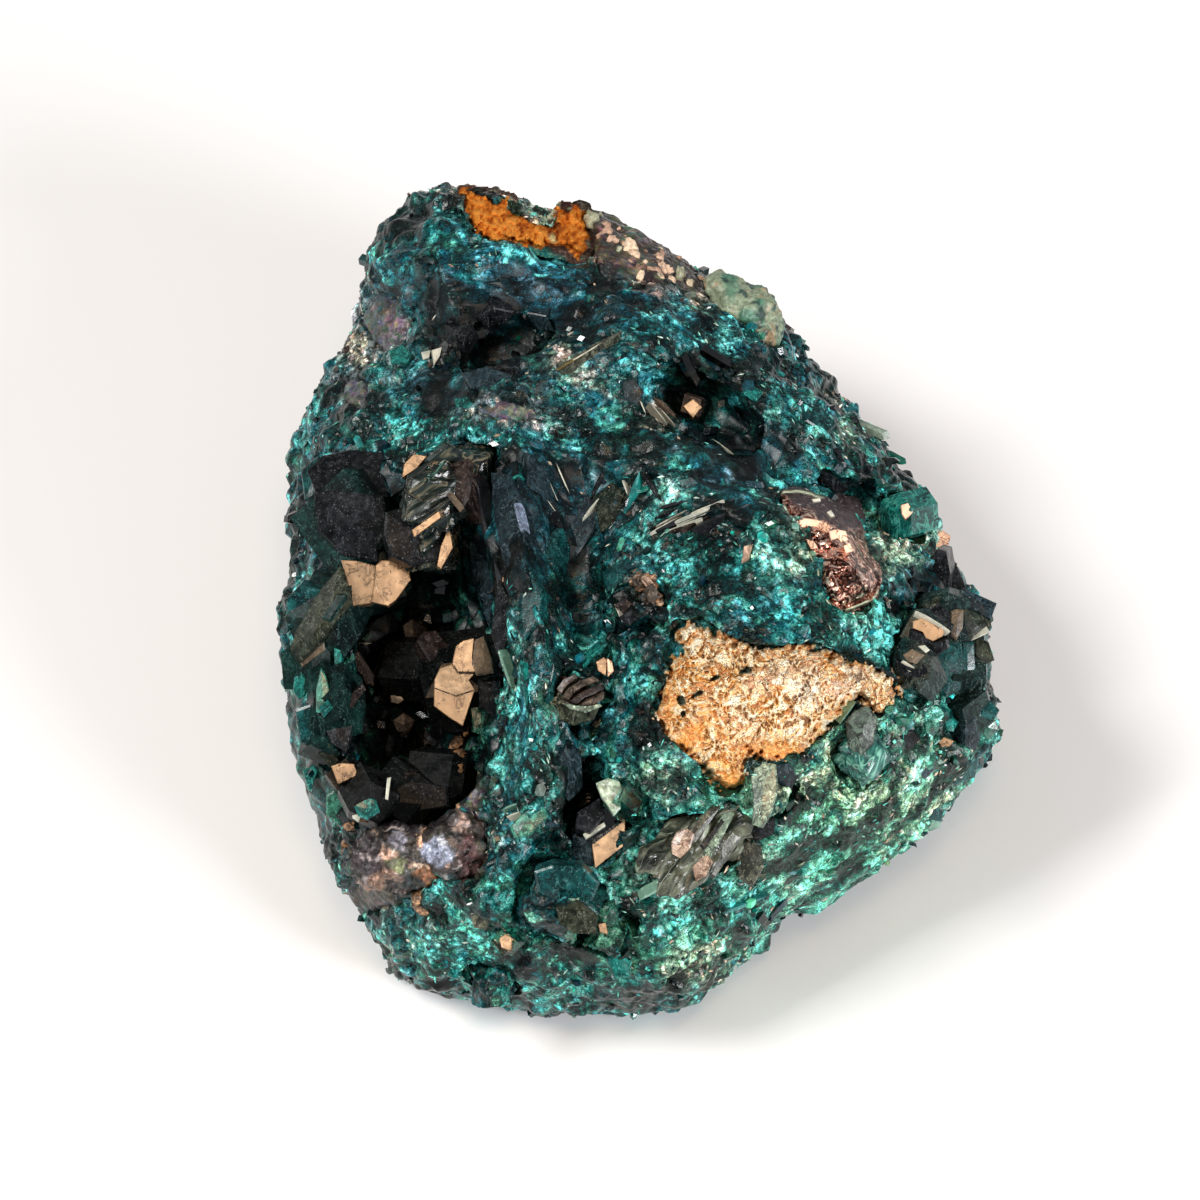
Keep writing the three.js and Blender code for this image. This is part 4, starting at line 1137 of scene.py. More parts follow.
def flow_axis(rng, x, y, n):
    """Long-axis direction of a grain: along the local streaks where there are any."""
    free = rng.normal(size=(len(x), 3))
    free /= np.linalg.norm(free, axis=1, keepdims=True)
    along, g = flow_at(x, y)
    return free + along * (2.2 * g)[:, None] + n * (0.7 * (1 - g))[:, None], g


def make_druse(seed, count, size, density, label, on_coat=False):
    rng = np.random.default_rng(seed)
    if on_coat:
        cP, cN, cx, cy, cf, ch, cW, cd = coat_points
        i = rng.choice(len(cP), count, p=density / density.sum())
        Q, n, f, hol = cP[i], cN[i], cf[i], ch[i]
        x, y = cx[i], cy[i]
    else:
        Q, n, t = scatter(rng, count, density)
        x, y, d = chart(Q)
        f = face_share(Q, n, x, y, d)
        hol = in_hollow(x, y) * (f > 0.5)
    r = size * np.exp(rng.normal(0, 0.38, count)) * (1 + 0.9 * hol)
    r = np.clip(r, 0.11, 0.60)
    A, g = flow_axis(rng, x, y, n)
    long = np.exp(rng.normal(0.15, 0.35, count)) * (1 + 0.9 * g)
    h = r * np.clip(long, 0.95, 3.2)
    sq = np.stack([rng.uniform(0.75, 1.15, count), rng.uniform(0.45, 1.0, count)], 1)
    C = Q + n * (r * rng.uniform(-0.15, 0.45, count))[:, None]
    ok = (C[:, 2] > r * 0.6 + 0.15) & clear_of(other_tree, C, 0.25 + 0.45 * r)
    W, B = zone_weights(Q, x, y)
    M = W * f[:, None] + B * (1 - f[:, None])
    # crystals on the bare back and flanks stay green
    for key in "RLOP":
        M[:, KEYS.index(key)] *= 0.25 + 0.75 * f
    k = pick(rng, M)
    colour = TONES[k] * np.exp(rng.normal(0, 0.42, count))[:, None]
    colour *= (1 + 0.12 * rng.normal(size=(count, 3)))
    # painted shade in the hollows, and painted light and shade from SHADE
    colour *= (1 - 0.72 * hol)[:, None] * (0.75 * shade_at(x, y) ** f)[:, None]
    colour = np.clip(colour, 0.0015, 0.9)
    keys = np.array(list(KEYS))[k]
    spin = rng.uniform(0, 2 * np.pi, count)
    for tag, letters, material in (("dark", "KSD", DRUSE_DARK), ("teal", "BTG", DRUSE_TEAL), ("pale", "MWORLP", DRUSE_PALE)):
        m = ok & np.isin(keys, list(letters))
        for kind, part in (("prism", m & (r > 0.24)), ("grain", m & (r <= 0.24))):
            i = np.where(part)[0]
            if len(i) == 0:
                continue
            crystal_cloud(f"druse_{label}_{tag}_{kind}", C[i], A[i], r[i], h[i], sq[i], spin[i], colour[i], material, kind)


cP, cN, cx, cy, cf, ch, cW, cd = coat_points
ccalm = calm_at(cx, cy)
make_druse(21, 900, 0.20, np.clip(cd * cf - 0.3, 0, 1) * (1.0 + 0.5 * ch) * (1 - 0.8 * ccalm) * smooth(cP[:, 2], 0.2, 1.0), "face", on_coat=True)


def make_sparks(seed, count, letters, tones, label, material, width, reach):
    """Slivers and chips of bright crystal scattered over the coat; their mint and cream colours are partly painted
    glints.
    """
    rng = np.random.default_rng(seed)
    dens = sum(cW[:, KEYS.index(c)] * w for c, w in letters) * np.clip(cd * cf - 0.4, 0, 1) * (1 - 0.85 * ch) * (1 - 0.85 * ccalm)
    i = rng.choice(len(cP), count, p=dens / dens.sum())
    Q, n, x, y = cP[i], cN[i], cx[i], cy[i]
    A, g = flow_axis(rng, x, y, n)
    A /= np.linalg.norm(A, axis=1, keepdims=True)
    A = A - n * ((A * n).sum(1) * 0.75)[:, None]
    r = rng.uniform(*width, count)
    h = np.maximum(r * 1.3, rng.uniform(*reach, count))
    ok = clear_of(other_tree, Q, np.full(count, 0.3))
    i = np.where(ok)[0]
    T_ = np.array(tones)[rng.integers(0, len(tones), count)] * np.exp(rng.normal(0, 0.25, count))[:, None]
    sq = np.stack([rng.uniform(0.7, 1.2, count), rng.uniform(0.35, 0.8, count)], 1)
    C = Q + n * (0.5 * r)[:, None]
    crystal_cloud(f"sparks_{label}", C[i], A[i], r[i], h[i], sq[i], rng.uniform(0, 6.28, count)[i], np.clip(T_[i], 0, 1), material, "grain", tip_light=0.15)


make_sparks(41, 1500, [("T", 1), ("M", 1.4), ("G", 0.9), ("W", 1.0), ("B", 0.7), ("D", 0.25)], [(0.10, 0.52, 0.42), (0.26, 0.64, 0.50), (0.50, 0.68, 0.56), (0.03, 0.36, 0.32)], "mint", DRUSE_PALE, (0.04, 0.085), (0.12, 0.32))
make_sparks(42, 300, [("W", 1), ("O", 1.2), ("P", 2), ("G", 0.5), ("S", 0.4), ("R", 1.5)], [(0.72, 0.55, 0.40), (0.80, 0.74, 0.60), (0.50, 0.34, 0.22)], "cream", DRUSE_PALE, (0.05, 0.12), (0.10, 0.30))
make_druse(22, 3600, 0.26, np.where(mface <= 0.5, mdruse, 0.0) * smooth(mid[:, 2], 0.4, 1.6), "flank")

# ------------------------------------------------------------------ depth of the built surface
cad_tree = joined_tree(list(NODES))
EYE = Vector(place * MM)


def depth_at(x, y, tree=None):
    """Depth of the CAD surface seen at chart points; nan where there is none."""
    tree = tree or cad_tree
    target = from_chart(x, y, np.zeros(len(x)))
    out = np.full(len(x), np.nan)
    for i, t in enumerate(target):
        way = (Vector(t * MM) - EYE).normalized()
        hit = tree.ray_cast(EYE, way)
        if hit[0] is not None:
            out[i] = (np.array(hit[0]) / MM - AIM) @ OUT
    return out


def blurred(D, times):
    for _ in range(times):
        E = np.pad(D, 1, mode="edge")
        D = (E[:-2, 1:-1] + E[2:, 1:-1] + E[1:-1, :-2] + E[1:-1, 2:] + 4 * D) / 8
    return D


def crust_sheet(name, outline, step, margin, base_shift, profile, material, node, blur=40, under=2.2):
    """A closed crust over an outline on the chart. profile(x, y, inside_px, Q) gives its height
    in mm over the rock and the values to paint."""
    C = np.asarray(outline, float)
    gx = np.arange(C[:, 0].min() - margin, C[:, 0].max() + margin + step, step)
    gy = np.arange(C[:, 1].min() - margin, C[:, 1].max() + margin + step, step)
    X, Y = np.meshgrid(gx, gy)
    coarse_x, coarse_y = X[::4, ::4], Y[::4, ::4]
    D = depth_at(coarse_x.ravel(), coarse_y.ravel(), cad_tree)
    known = ~np.isnan(D)
    D = np.where(known, D, np.nanmedian(D)).reshape(coarse_x.shape)
    D = blurred(D, blur)
    # back up to the full grid
    fx = np.clip((gx - gx[0]) / (4 * step), 0, D.shape[1] - 1.001)
    fy = np.clip((gy - gy[0]) / (4 * step), 0, D.shape[0] - 1.001)
    ix, iy = fx.astype(int), fy.astype(int)
    tx, ty = (fx - ix)[None, :], (fy - iy)[:, None]
    D = (D[iy][:, ix] * (1 - tx) + D[iy][:, ix + 1] * tx) * (1 - ty) + (D[iy + 1][:, ix] * (1 - tx) + D[iy + 1][:, ix + 1] * tx) * ty
    xf, yf, df = X.ravel(), Y.ravel(), D.ravel()
    inside = -edge_distance(xf, yf, outline)
    Q = np.stack([xf / 15, yf / 15, np.zeros(len(xf))], 1)
    height, painted = profile(xf, yf, inside, Q)
    top = from_chart(xf, yf, df + base_shift + height)
    low = from_chart(xf, yf, df - under)
    keep_v = (inside > -margin).reshape(X.shape)
    cells = keep_v[:-1, :-1] & keep_v[1:, :-1] & keep_v[:-1, 1:] & keep_v[1:, 1:]
    idx = np.arange(X.size).reshape(X.shape)
    a, b, c, e = idx[:-1, :-1][cells], idx[:-1, 1:][cells], idx[1:, 1:][cells], idx[1:, :-1][cells]
    topf = np.stack([e, c, b, a], 1)
    lowf = np.stack([a, b, c, e], 1) + X.size
    # walls round the rim
    edges = np.concatenate([topf[:, [0, 1]], topf[:, [1, 2]], topf[:, [2, 3]], topf[:, [3, 0]]])
    key = np.sort(edges, 1) @ np.array([X.size, 1])
    _, first, n = np.unique(key, return_index=True, return_counts=True)
    rimf = edges[first[n == 1]]
    wall = np.stack([rimf[:, 1], rimf[:, 0], rimf[:, 0] + X.size, rimf[:, 1] + X.size], 1)
    faces = np.concatenate([topf, lowf, wall])
    used = np.unique(faces)
    ref = np.zeros(2 * X.size, np.int64)
    ref[used] = np.arange(len(used))
    ob = new_object(name, np.concatenate([top, low])[used], ref[faces].ravel(), np.full(len(faces), 4), smooth_shade=False)
    for attr, val in painted.items():
        paint(ob.data, attr, np.concatenate([val, val])[used])
    ob.data.materials.append(material)
    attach(ob, "root")
    if node:
        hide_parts(node)
    return ob


# ------------------------------------------------------------------ ochre limonite crust
def worms(Q, size, seed, twist=0.5):
    """Crests of little wandering strands, 0 to 1, on a flat map in mm."""
    w = np.stack([noise(Q, size * 2.6, seed), noise(Q, size * 2.6, seed + 1), 0 * Q[:, 0]], 1)
    v = np.stack([noise(Q, size * 0.9, seed + 2), noise(Q, size * 0.9, seed + 3), 0 * Q[:, 0]], 1)
    R = Q + w * size * 1.3 * twist * 2 + v * size * 0.35
    a = np.abs(noise(R, size, seed + 4))
    b = np.abs(noise(R + 7.7, size * 0.62, seed + 5))
    return np.clip(1 - 2.6 * a, 0, 1), np.clip(1 - 2.8 * b, 0, 1)


def ochre_profile(x, y, inside, Q):
    ragged = inside + (3.5 * noise(Q, 0.8, 601) + 6.5 * noise(Q, 0.35, 602) + 3.5 * noise(Q, 0.18, 608)) * (1 - 0.75 * smooth(inside, 1.5, 8))
    c1, c2 = worms(Q, 0.38, 610)
    body = smooth(ragged, -2.0, 5.0)
    swell = 0.55 * smooth(inside, 0, 34)
    # the lower left edge and the tail are smooth and orange
    plain = np.clip(blob(x, y, 684, 742, 34, 11, 45) + blob(x, y, 728, 782, 24, 12, 20) + blob(x, y, 775, 752, 34, 9, -8) + 0.7 * blob(x, y, 668, 705, 9, 24, 0), 0, 1)
    worm = np.maximum(c1, 0.75 * c2) * (1 - 0.6 * plain)
    lumps = 0.22 * noise(Q, 1.7, 603) + 0.12 * noise(Q, 0.9, 604)
    h = -0.9 - 1.2 * smooth(-ragged, 2.5, 6.0) + body * (1.0 + swell * 0.8 + 0.40 * worm + lumps + 0.06 * noise(Q, 0.2, 605))
    # gap: painted shade between the strands
    gap = smooth(0.30 - worm, 0.0, 0.25) * smooth(noise(Q, 1.1, 606), -0.25, 0.5) * smooth(inside, 4, 14)
    # milk: a painted highlight over the middle of the crust, partly its paler colour
    milk = np.clip(blob(x, y, 800, 690, 62, 34, 14) + 0.6 * blob(x, y, 862, 676, 40, 18, 18) + 0.5 * blob(x, y, 740, 700, 40, 26, 30), 0, 1) * smooth(noise(Q, 1.0, 609), -0.7, 0.5)
    pits = blob(x, y, 714, 679, 9, 4, 30) + blob(x, y, 746, 671, 8, 4, 25) + blob(x, y, 681, 701, 5, 6, 0) + blob(x, y, 698, 694, 9, 3.5, 30) + blob(x, y, 683, 713, 3, 5, 0) + 0.8 * blob(x, y, 730, 690, 4, 3, 0)
    pits = smooth(pits + 0.35 * noise(Q, 0.35, 607), 0.50, 0.80)
    return h - 0.55 * pits, {"worm": worm, "plain": plain, "gap": gap * (1 - plain), "milk": milk * (1 - plain), "pits": pits}


k_ = Nodes("ochre_limonite")
worm_in, plain_in, gap_in = k_.attribute("worm"), k_.attribute("plain"), k_.attribute("gap")
fine_n = k_.noise(0.22, 4, 0.7, 0.5)
wide_n = k_.noise(2.2, 3, 0.6)
base = k_.ramp(k_.math("ADD", k_.math("MULTIPLY", worm_in, 0.62), k_.math("MULTIPLY", fine_n, 0.5)), [(0.10, (0.20, 0.055, 0.010)), (0.30, (0.70, 0.27, 0.045)), (0.50, (0.94, 0.57, 0.19)), (0.72, (1.0, 0.90, 0.66))])
base = k_.mix(k_.ramp(wide_n, [(0.44, 0.0), (0.62, 0.50)]), base, k_.mix(0.5, base, (0.98, 0.86, 0.68)))
# painted highlight, partly the crust's paler colour
base = k_.mix(k_.math("MULTIPLY", k_.attribute("milk"), 0.72), base, k_.mix(k_.ramp(fine_n, [(0.40, 0.25), (0.56, 0.85)]), base, (1.0, 0.95, 0.82)))
base = k_.mix(k_.math("MULTIPLY", plain_in, 0.85), base, k_.ramp(fine_n, [(0.36, (0.52, 0.16, 0.02)), (0.52, (0.86, 0.36, 0.065)), (0.66, (1.0, 0.62, 0.26))]))
curl = k_.ramp(k_.noise(0.55, 2, 0.5, 2.4), [(0.460, 0.0), (0.480, 1.0), (0.500, 1.0), (0.520, 0.0)])
base = k_.mix(k_.math("MULTIPLY", curl, k_.math("SUBTRACT", 1.0, k_.math("MULTIPLY", plain_in, 0.6), True)), base, (0.110, 0.040, 0.010))
curl2 = k_.ramp(k_.noise(0.85, 3, 0.6, 2.0), [(0.476, 0.0), (0.489, 0.95), (0.505, 0.95), (0.518, 0.0)])
base = k_.mix(k_.math("MULTIPLY", curl2, k_.math("SUBTRACT", 1.0, k_.math("MULTIPLY", plain_in, 0.5), True)), base, (0.050, 0.024, 0.010))
# painted shade in the gaps between the strands
base = k_.mix(k_.math("MULTIPLY", gap_in, 0.80), base, (0.10, 0.05, 0.02))
base = k_.mix(k_.math("MULTIPLY", k_.attribute("pits"), 0.95), base, (0.008, 0.034, 0.026))
k_.set(Base_Color=base, Roughness=0.55, IOR=1.5)
k_.set(Normal=k_.bump(fine_n, 0.5, 0.07))
crust_sheet("ochre_crust_skin", OCHRE, 1.25, 9, -0.10, ochre_profile, k_.mat, "ochre_crust", blur=30)


# ------------------------------------------------------------------ rust crust
def rust_profile(x, y, inside, Q):
    ia = np.maximum(-edge_distance(x, y, RUST_A), -edge_distance(x, y, RUST_B))
    neck = 5 - np.hypot((x - 551) / 1.5, (y - 238))
    ia = np.maximum(ia, neck)
    ragged = ia + 4.0 * noise(Q, 0.7, 621) + 3.0 * noise(Q, 0.3, 622) + 1.5 * noise(Q, 0.15, 627)
    body = smooth(ragged, -1.5, 3.5)
    grain = 0.22 * noise(Q, 0.30, 623) + 0.20 * noise(Q, 0.15, 624) + 0.18 * noise(Q, 1.0, 625)
    pale = smooth(neck + 4 * noise(Q, 0.5, 626), -2, 5) * smooth(-np.maximum(-edge_distance(x, y, RUST_A), -edge_distance(x, y, RUST_B)), -3, 2)
    return -0.9 + body * (1.15 + grain), {"grit": smooth(grain, -0.35, 0.25), "pale": pale, "bare": smooth(-ragged, 1.5, 4.0), "damp": smooth(y - (214 + 0.46 * (x - 478)) + 5 * noise(Q, 0.5, 628), -2, 8) * (x < 566 + 3 * noise(Q, 0.5, 629)),
                                     "cream": smooth(blob(x, y, 534, 217, 30, 15, 26) + 0.35 * noise(Q, 0.4, 630), 0.15, 0.5)}


k_ = Nodes("rust_limonite")
grit_in, pale_in = k_.attribute("grit"), k_.attribute("pale")
fine_n = k_.noise(0.25, 4, 0.7)
base = k_.ramp(k_.math("ADD", k_.math("MULTIPLY", grit_in, 0.5), k_.math("MULTIPLY", fine_n, 0.55)), [(0.22, (0.20, 0.045, 0.006)), (0.42, (0.42, 0.100, 0.008)), (0.58, (0.60, 0.170, 0.014)), (0.76, (0.72, 0.27, 0.04))])
base = k_.mix(k_.math("MULTIPLY", pale_in, 0.9), base, (0.62, 0.55, 0.26))
base = k_.mix(k_.attribute("bare"), base, k_.ramp(fine_n, [(0.40, (0.030, 0.018, 0.016)), (0.60, (0.085, 0.052, 0.042)), (0.72, (0.36, 0.27, 0.20))]))
below = k_.ramp(fine_n, [(0.36, (0.006, 0.050, 0.052)), (0.52, (0.012, 0.150, 0.140)), (0.66, (0.16, 0.34, 0.20))])
base = k_.mix(k_.math("MULTIPLY", k_.attribute("bare"), k_.attribute("damp")), base, below)
between = k_.ramp(fine_n, [(0.36, (0.06, 0.11, 0.08)), (0.50, (0.30, 0.38, 0.26)), (0.66, (0.66, 0.66, 0.50))])
base = k_.mix(k_.math("MULTIPLY", k_.attribute("bare"), k_.attribute("cream")), base, between)
k_.set(Base_Color=base, Roughness=0.85, IOR=1.4)
k_.bsdf.inputs["Specular IOR Level"].default_value = 0.2
k_.set(Normal=k_.bump(k_.noise(0.16, 4, 0.75), 1.0, 0.12))
RUST_OUT = [(462, 190), (486, 192), (512, 198), (518, 212), (548, 224), (562, 206), (586, 210), (592, 240), (582, 262), (562, 254), (546, 252), (524, 246), (500, 236), (490, 244), (474, 236), (464, 215)]
crust_sheet("rust_crust_skin", RUST_OUT, 1.25, 6, -0.05, rust_profile, k_.mat, "rust_crust", blur=24)


# ------------------------------------------------------------------ goethite, pale mass
def hugging(P, shrink):
    """Extra lift where a skin meets the rock, so that no gap shows round it."""
    far = np.full(len(P), 2.0)
    for i, q in enumerate(P):
        hit = skin_tree.find_nearest(Vector(q * MM), 1.2 * MM)
        if hit[0] is not None:
            far[i] = hit[3] / MM
    return (0.45 + shrink) * smooth(1.1 - far, 0.0, 0.9)


def lump_skin(name, node, voxel, relax, shape, material):
    """A finer skin over a CAD lump, pushed about by shape(P, x, y) in mm."""
    ob = remeshed(name, [node], voxel, relax)
    P = coords(ob.data)
    N = normals(ob.data)
    x, y, d = chart(P)
    lift, painted = shape(P, x, y)
    set_coords(ob.data, P + N * lift[:, None])
    for attr, val in painted.items():
        paint(ob.data, attr, val)
    ob.data.polygons.foreach_set("use_smooth", np.ones(len(ob.data.polygons), bool))
    ob.data.materials.append(material)
    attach(ob, "root")
    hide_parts(node)
    return ob


def goethite(name, metal, rough, dull_colour, shiny_colour):
    k = Nodes(name)
    dull = k.attribute("dull")
    n = k.noise(0.8, 4, 0.6, 0.7)
    f = k.noise(0.2, 3, 0.7)
    foil = k.noise(0.75, 4, 0.62, 2.0)
    shiny = k.ramp(foil, [(0.40, tuple(c * 0.05 for c in shiny_colour)), (0.47, tuple(c * 0.28 for c in shiny_colour)), (0.50, shiny_colour), (0.535, tuple(min(1, c * 2.2 + 0.12) for c in shiny_colour)), (0.56, (0.98, 0.74, 0.60))])
    coat = k.mix(k.ramp(f, [(0.42, 0.0), (0.62, 1.0)]), tuple(0.35 * c for c in dull_colour), tuple(min(1, 4.2 * c) for c in dull_colour))
    coat = k.mix(k.ramp(k.noise(0.35, 2, 0.5, 1.0), [(0.66, 0.0), (0.70, 1.0)]), coat, (0.50, 0.46, 0.46))
    k.set(Base_Color=k.mix(dull, shiny, coat), Metallic=metal, IOR=1.7)
    k.set(Roughness=k.math("ADD", k.math("MULTIPLY", dull, 0.4), k.ramp(n, [(0.35, rough), (0.7, rough * 2.2)])))
    n1 = k.bump(n, 0.5, 0.14)
    k.set(Normal=k.bump(f, 0.25, 0.04, n1))
    return k.mat


def lip_shape(P, x, y):
    folds = 0.20 * ridged(P, 1.2, 651) + 0.14 * noise(P, 0.6, 652) + 0.06 * noise(P, 0.3, 653)
    return folds, {"dull": smooth(noise(P, 1.1, 654) - 0.1, -0.2, 0.4)}


def pale_shape(P, x, y):
    best, who, crest, seam = intergrown(P, 0.55, 661)
    lift = 0.34 * best + 0.30 * noise(P, 1.2, 662) + 0.12 * ridged(P, 0.6, 664)
    # behind, it sinks into the rock
    away = P - P.mean(0)
    away /= np.linalg.norm(away, axis=1, keepdims=True) + 1e-9
    lift = lift - 0.9 * smooth(-(away @ OUT), 0.05, 0.8)
    green = smooth(noise(P, 1.0, 663), -0.1, 0.5)
    dark = (chance(who, 66) > 0.80).astype(float)
    return lift, {"green": green, "speck": dark * smooth(seam, 0, 0.1)}


def nodule_profile(x, y, inside, Q):
    ragged = inside + 1.6 * noise(Q, 0.7, 640)
    dome = np.sqrt(np.clip(1 - (1 - np.clip(ragged, 0, 23) / 23) ** 2, 0, 1))
    bulb = np.exp(-(((x - 850) / 24) ** 2 + ((y - 580) / 22) ** 2))
    pit = np.exp(-(((x - 849) / 12) ** 2 + ((y - 577) / 8) ** 2))
    upper = smooth(-(y - 522) + 7 * noise(Q, 0.9, 641) + 0.45 * (x - 826), -5, 9)
    folds = 0.20 * ridged(Q, 1.2, 642) + 0.14 * noise(Q, 0.6, 643) + 0.05 * noise(Q, 0.25, 644)
    steps = 0.10 * np.floor(3 * noise(Q, 0.9, 645))
    h = -0.7 - 1.4 * smooth(-ragged, 5.2, 8.0) + 1.35 * dome * (0.75 + 0.5 * bulb) + dome * (folds * (1 - 0.5 * upper) + steps * (1 - upper)) - 0.8 * pit * dome
    broken = smooth(noise(Q, 0.9, 646) + 0.35 * noise(Q, 0.25, 647) + 0.15, -0.15, 0.25)
    rim = smooth(ragged, -5.6, -4.2) * (1 - smooth(ragged, -3.2, -1.6)) * np.maximum(smooth(822 - x, -6, 6), smooth(y - 586, -6, 6)) * broken
    h += 0.42 * rim
    return h, {"dull": upper * 0.95, "rim": rim, "hole": pit}


k_ = goethite("goethite", 0.0, 0.18, (0.016, 0.010, 0.014), (0.36, 0.13, 0.085))
mat = k_
t = mat.node_tree
bs = t.nodes["Principled BSDF"]
kk = Nodes.__new__(Nodes)
kk.mat, kk.t, kk.bsdf = mat, t, bs
rim_in, hole_in, dull_in = kk.attribute("rim"), kk.attribute("hole"), kk.attribute("dull")
base_link = bs.inputs["Base Color"].links[0].from_socket
# darker in the pit: painted shade, partly its dark core
base = kk.mix(kk.math("MULTIPLY", hole_in, 0.9), base_link, (0.02, 0.008, 0.006))
base = kk.mix(rim_in, base, (0.52, 0.58, 0.40))
kk.set(Base_Color=base)
metal = kk.math("MULTIPLY", kk.math("SUBTRACT", 1.0, rim_in, True), kk.math("SUBTRACT", 0.92, kk.math("MULTIPLY", dull_in, 0.75), True))
kk.set(Metallic=metal)
crust_sheet("goethite_skin", NODULE, 1.1, 9, -0.05, nodule_profile, mat, "goethite_nodule", blur=60, under=1.6)


# patches of the bare rock under the vug: x, y, half-width, half-height, turn, colour
LIP_PATCHES = [
    (438, 850, 17, 12, -30, (0.30, 0.34, 0.44)), (444, 842, 8, 4, -40, (0.52, 0.54, 0.60)), (398, 862, 11, 10, 0, (0.15, 0.17, 0.085)), (388, 852, 11, 6, -10, (0.46, 0.30, 0.22)),
    (421, 841, 6, 6, 0, (0.56, 0.34, 0.22)), (424, 873, 9, 11, 10, (0.16, 0.070, 0.030)), (421, 864, 8, 3, -20, (0.62, 0.46, 0.33)),
    (468, 855, 11, 26, -8, (0.060, 0.028, 0.026)), (374, 880, 26, 8, 25, (0.17, 0.105, 0.075)), (398, 838, 6, 12, 20, (0.20, 0.20, 0.24)),
    (462, 822, 6, 14, 20, (0.34, 0.24, 0.20)), (414, 822, 34, 12, 0, (0.010, 0.008, 0.010)), (368, 858, 16, 20, 0, (0.030, 0.022, 0.026)), (440, 880, 16, 6, 0, (0.02, 0.09, 0.08)),
]


def lip_paint(P, x, y):
    W, B = zone_weights(P, x, y)
    k = freckle(P, W, 0.45, 655)
    tone = (0.65 * TONES[k] + 0.35 * (W @ TONES)) * (1 + 0.5 * noise(P, 0.6, 656))[:, None]
    tone = 0.35 * tone + 0.65 * np.array([0.017, 0.012, 0.011])
    wx, wy = x + 5 * noise(P, 0.8, 658) + 2 * noise(P, 0.3, 671), y + 5 * noise(P, 0.8, 659) + 2 * noise(P, 0.3, 672)
    for cx, cy, rx, ry, turn, colour in LIP_PATCHES:
        w = smooth(blob(wx, wy, cx, cy, rx, ry, turn), 0.28, 0.55)[:, None]
        tone = tone * (1 - w) + np.array(colour) * w
    streak = smooth(ridged(P + 0.2 * noise(P, 0.5, 673)[:, None], 0.7, 674), 0.66, 0.88) * smooth(noise(P, 1.1, 675), -0.2, 0.25)
    tone = tone * (1 - 0.8 * streak[:, None]) + 0.8 * streak[:, None] * np.array([0.36, 0.31, 0.30])
    cracks = smooth(ridged(P, 0.7, 676), 0.55, 0.9) * smooth(noise(P, 1.1, 677), -0.3, 0.2)
    tone *= (1 - 0.75 * cracks)[:, None]
    rough_ = lip_shape(P, x, y)[0] * 1.5 + 0.22 * intergrown(P, 0.9, 678)[0] + 0.10 * noise(P, 0.22, 679)
    return rough_ + hugging(P, 0.0) * 0.8, {"tone": np.clip(tone, 0.002, 0.9)}


k_ = Nodes("vug_lip_rock")
tone_in = k_.attribute("tone", "Color")
fine_n = k_.noise(0.25, 4, 0.7)
mid_n = k_.noise(0.7, 4, 0.6, 0.5)
base = k_.mix(1.0, tone_in, k_.ramp(fine_n, [(0.32, 0.4), (0.55, 1.1), (0.72, 2.2)]), "MULTIPLY")
base = k_.mix(k_.ramp(k_.noise(0.45, 2, 0.5, 1.6), [(0.482, 0.0), (0.492, 0.8), (0.502, 0.8), (0.512, 0.0)]), base, k_.mix(1.0, k_.mix(1.0, base, (2.6, 2.4, 2.5), "MULTIPLY"), (0.05, 0.045, 0.05), "ADD"))
base = k_.mix(1.0, base, k_.ramp(mid_n, [(0.38, 0.35), (0.52, 1.0), (0.66, 1.7)]), "MULTIPLY")
k_.set(Base_Color=base, IOR=1.6)
k_.bsdf.inputs["Specular IOR Level"].default_value = 0.28
k_.set(Roughness=k_.ramp(mid_n, [(0.35, 0.22), (0.65, 0.6)]))
k_.set(Normal=k_.bump(fine_n, 0.6, 0.09))
lump_skin("vug_lip_skin", "vug_lip_nodule", 0.12, 3, lip_paint, k_.mat)

k_ = Nodes("pale_green_mineral")
g_in, s_in = k_.attribute("green"), k_.attribute("speck")
fine_n = k_.noise(0.25, 4, 0.65)
base = k_.mix(g_in, (0.22, 0.27, 0.18), (0.070, 0.18, 0.12))
base = k_.mix(k_.ramp(k_.noise(1.5, 3, 0.6), [(0.56, 0.0), (0.64, 0.8)]), base, (0.36, 0.23, 0.13))
base = k_.mix(1.0, base, k_.ramp(fine_n, [(0.3, 0.45), (0.6, 1.25)]), "MULTIPLY")
base = k_.mix(k_.math("MULTIPLY", s_in, 0.9), base, (0.02, 0.05, 0.045))
k_.set(Base_Color=base, Roughness=0.42, IOR=1.55)
k_.set(Normal=k_.bump(fine_n, 0.4, 0.08))
lump_skin("pale_mass_skin", "pale_green_mass", 0.13, 3, pale_shape, k_.mat)

# ------------------------------------------------------------------ named facets and blades
GEM_BROWN = dull_gem("dioptase_brown", (0.17, 0.12, 0.085), (0.06, 0.045, 0.035), 0.25)
# pale faces and blades: thin pale crystals, and in places painted highlights
GEM_PALE = dull_gem("pale_blades", (0.62, 0.60, 0.49), (0.30, 0.33, 0.27), 0.35)
LILAC = plate_gem("lilac_blades", (0.16, 0.20, 0.28), (0.07, 0.09, 0.13), 0.26, 0.3, wear=0.7)
BARK = plate_gem("brown_plates", (0.085, 0.062, 0.045), (0.034, 0.027, 0.021), 0.30, 0.2, strokes=(0.004, 0.004, 0.004), wear=0.7)
PALE_GREEN = plate_gem("pale_green_faces", (0.38, 0.47, 0.34), (0.17, 0.25, 0.18), 0.26, 0.35, wear=0.7)
GEM_PEACH = plate_gem("peach_lenses", (0.38, 0.26, 0.19), (0.20, 0.12, 0.08), 0.28, 0.4, strokes=(0.10, 0.06, 0.04), wear=0.6)
GEM_MILK = dull_gem("milky_green", (0.20, 0.36, 0.27), (0.08, 0.19, 0.14), 0.22)
GEM_BLUE_DARK = dull_gem("dioptase_inky", (0.004, 0.050, 0.052), (0.002, 0.014, 0.016), 0.26)
GEM_BLUE = dull_gem("teal_blades", (0.012, 0.20, 0.18), (0.004, 0.06, 0.07), 0.20)
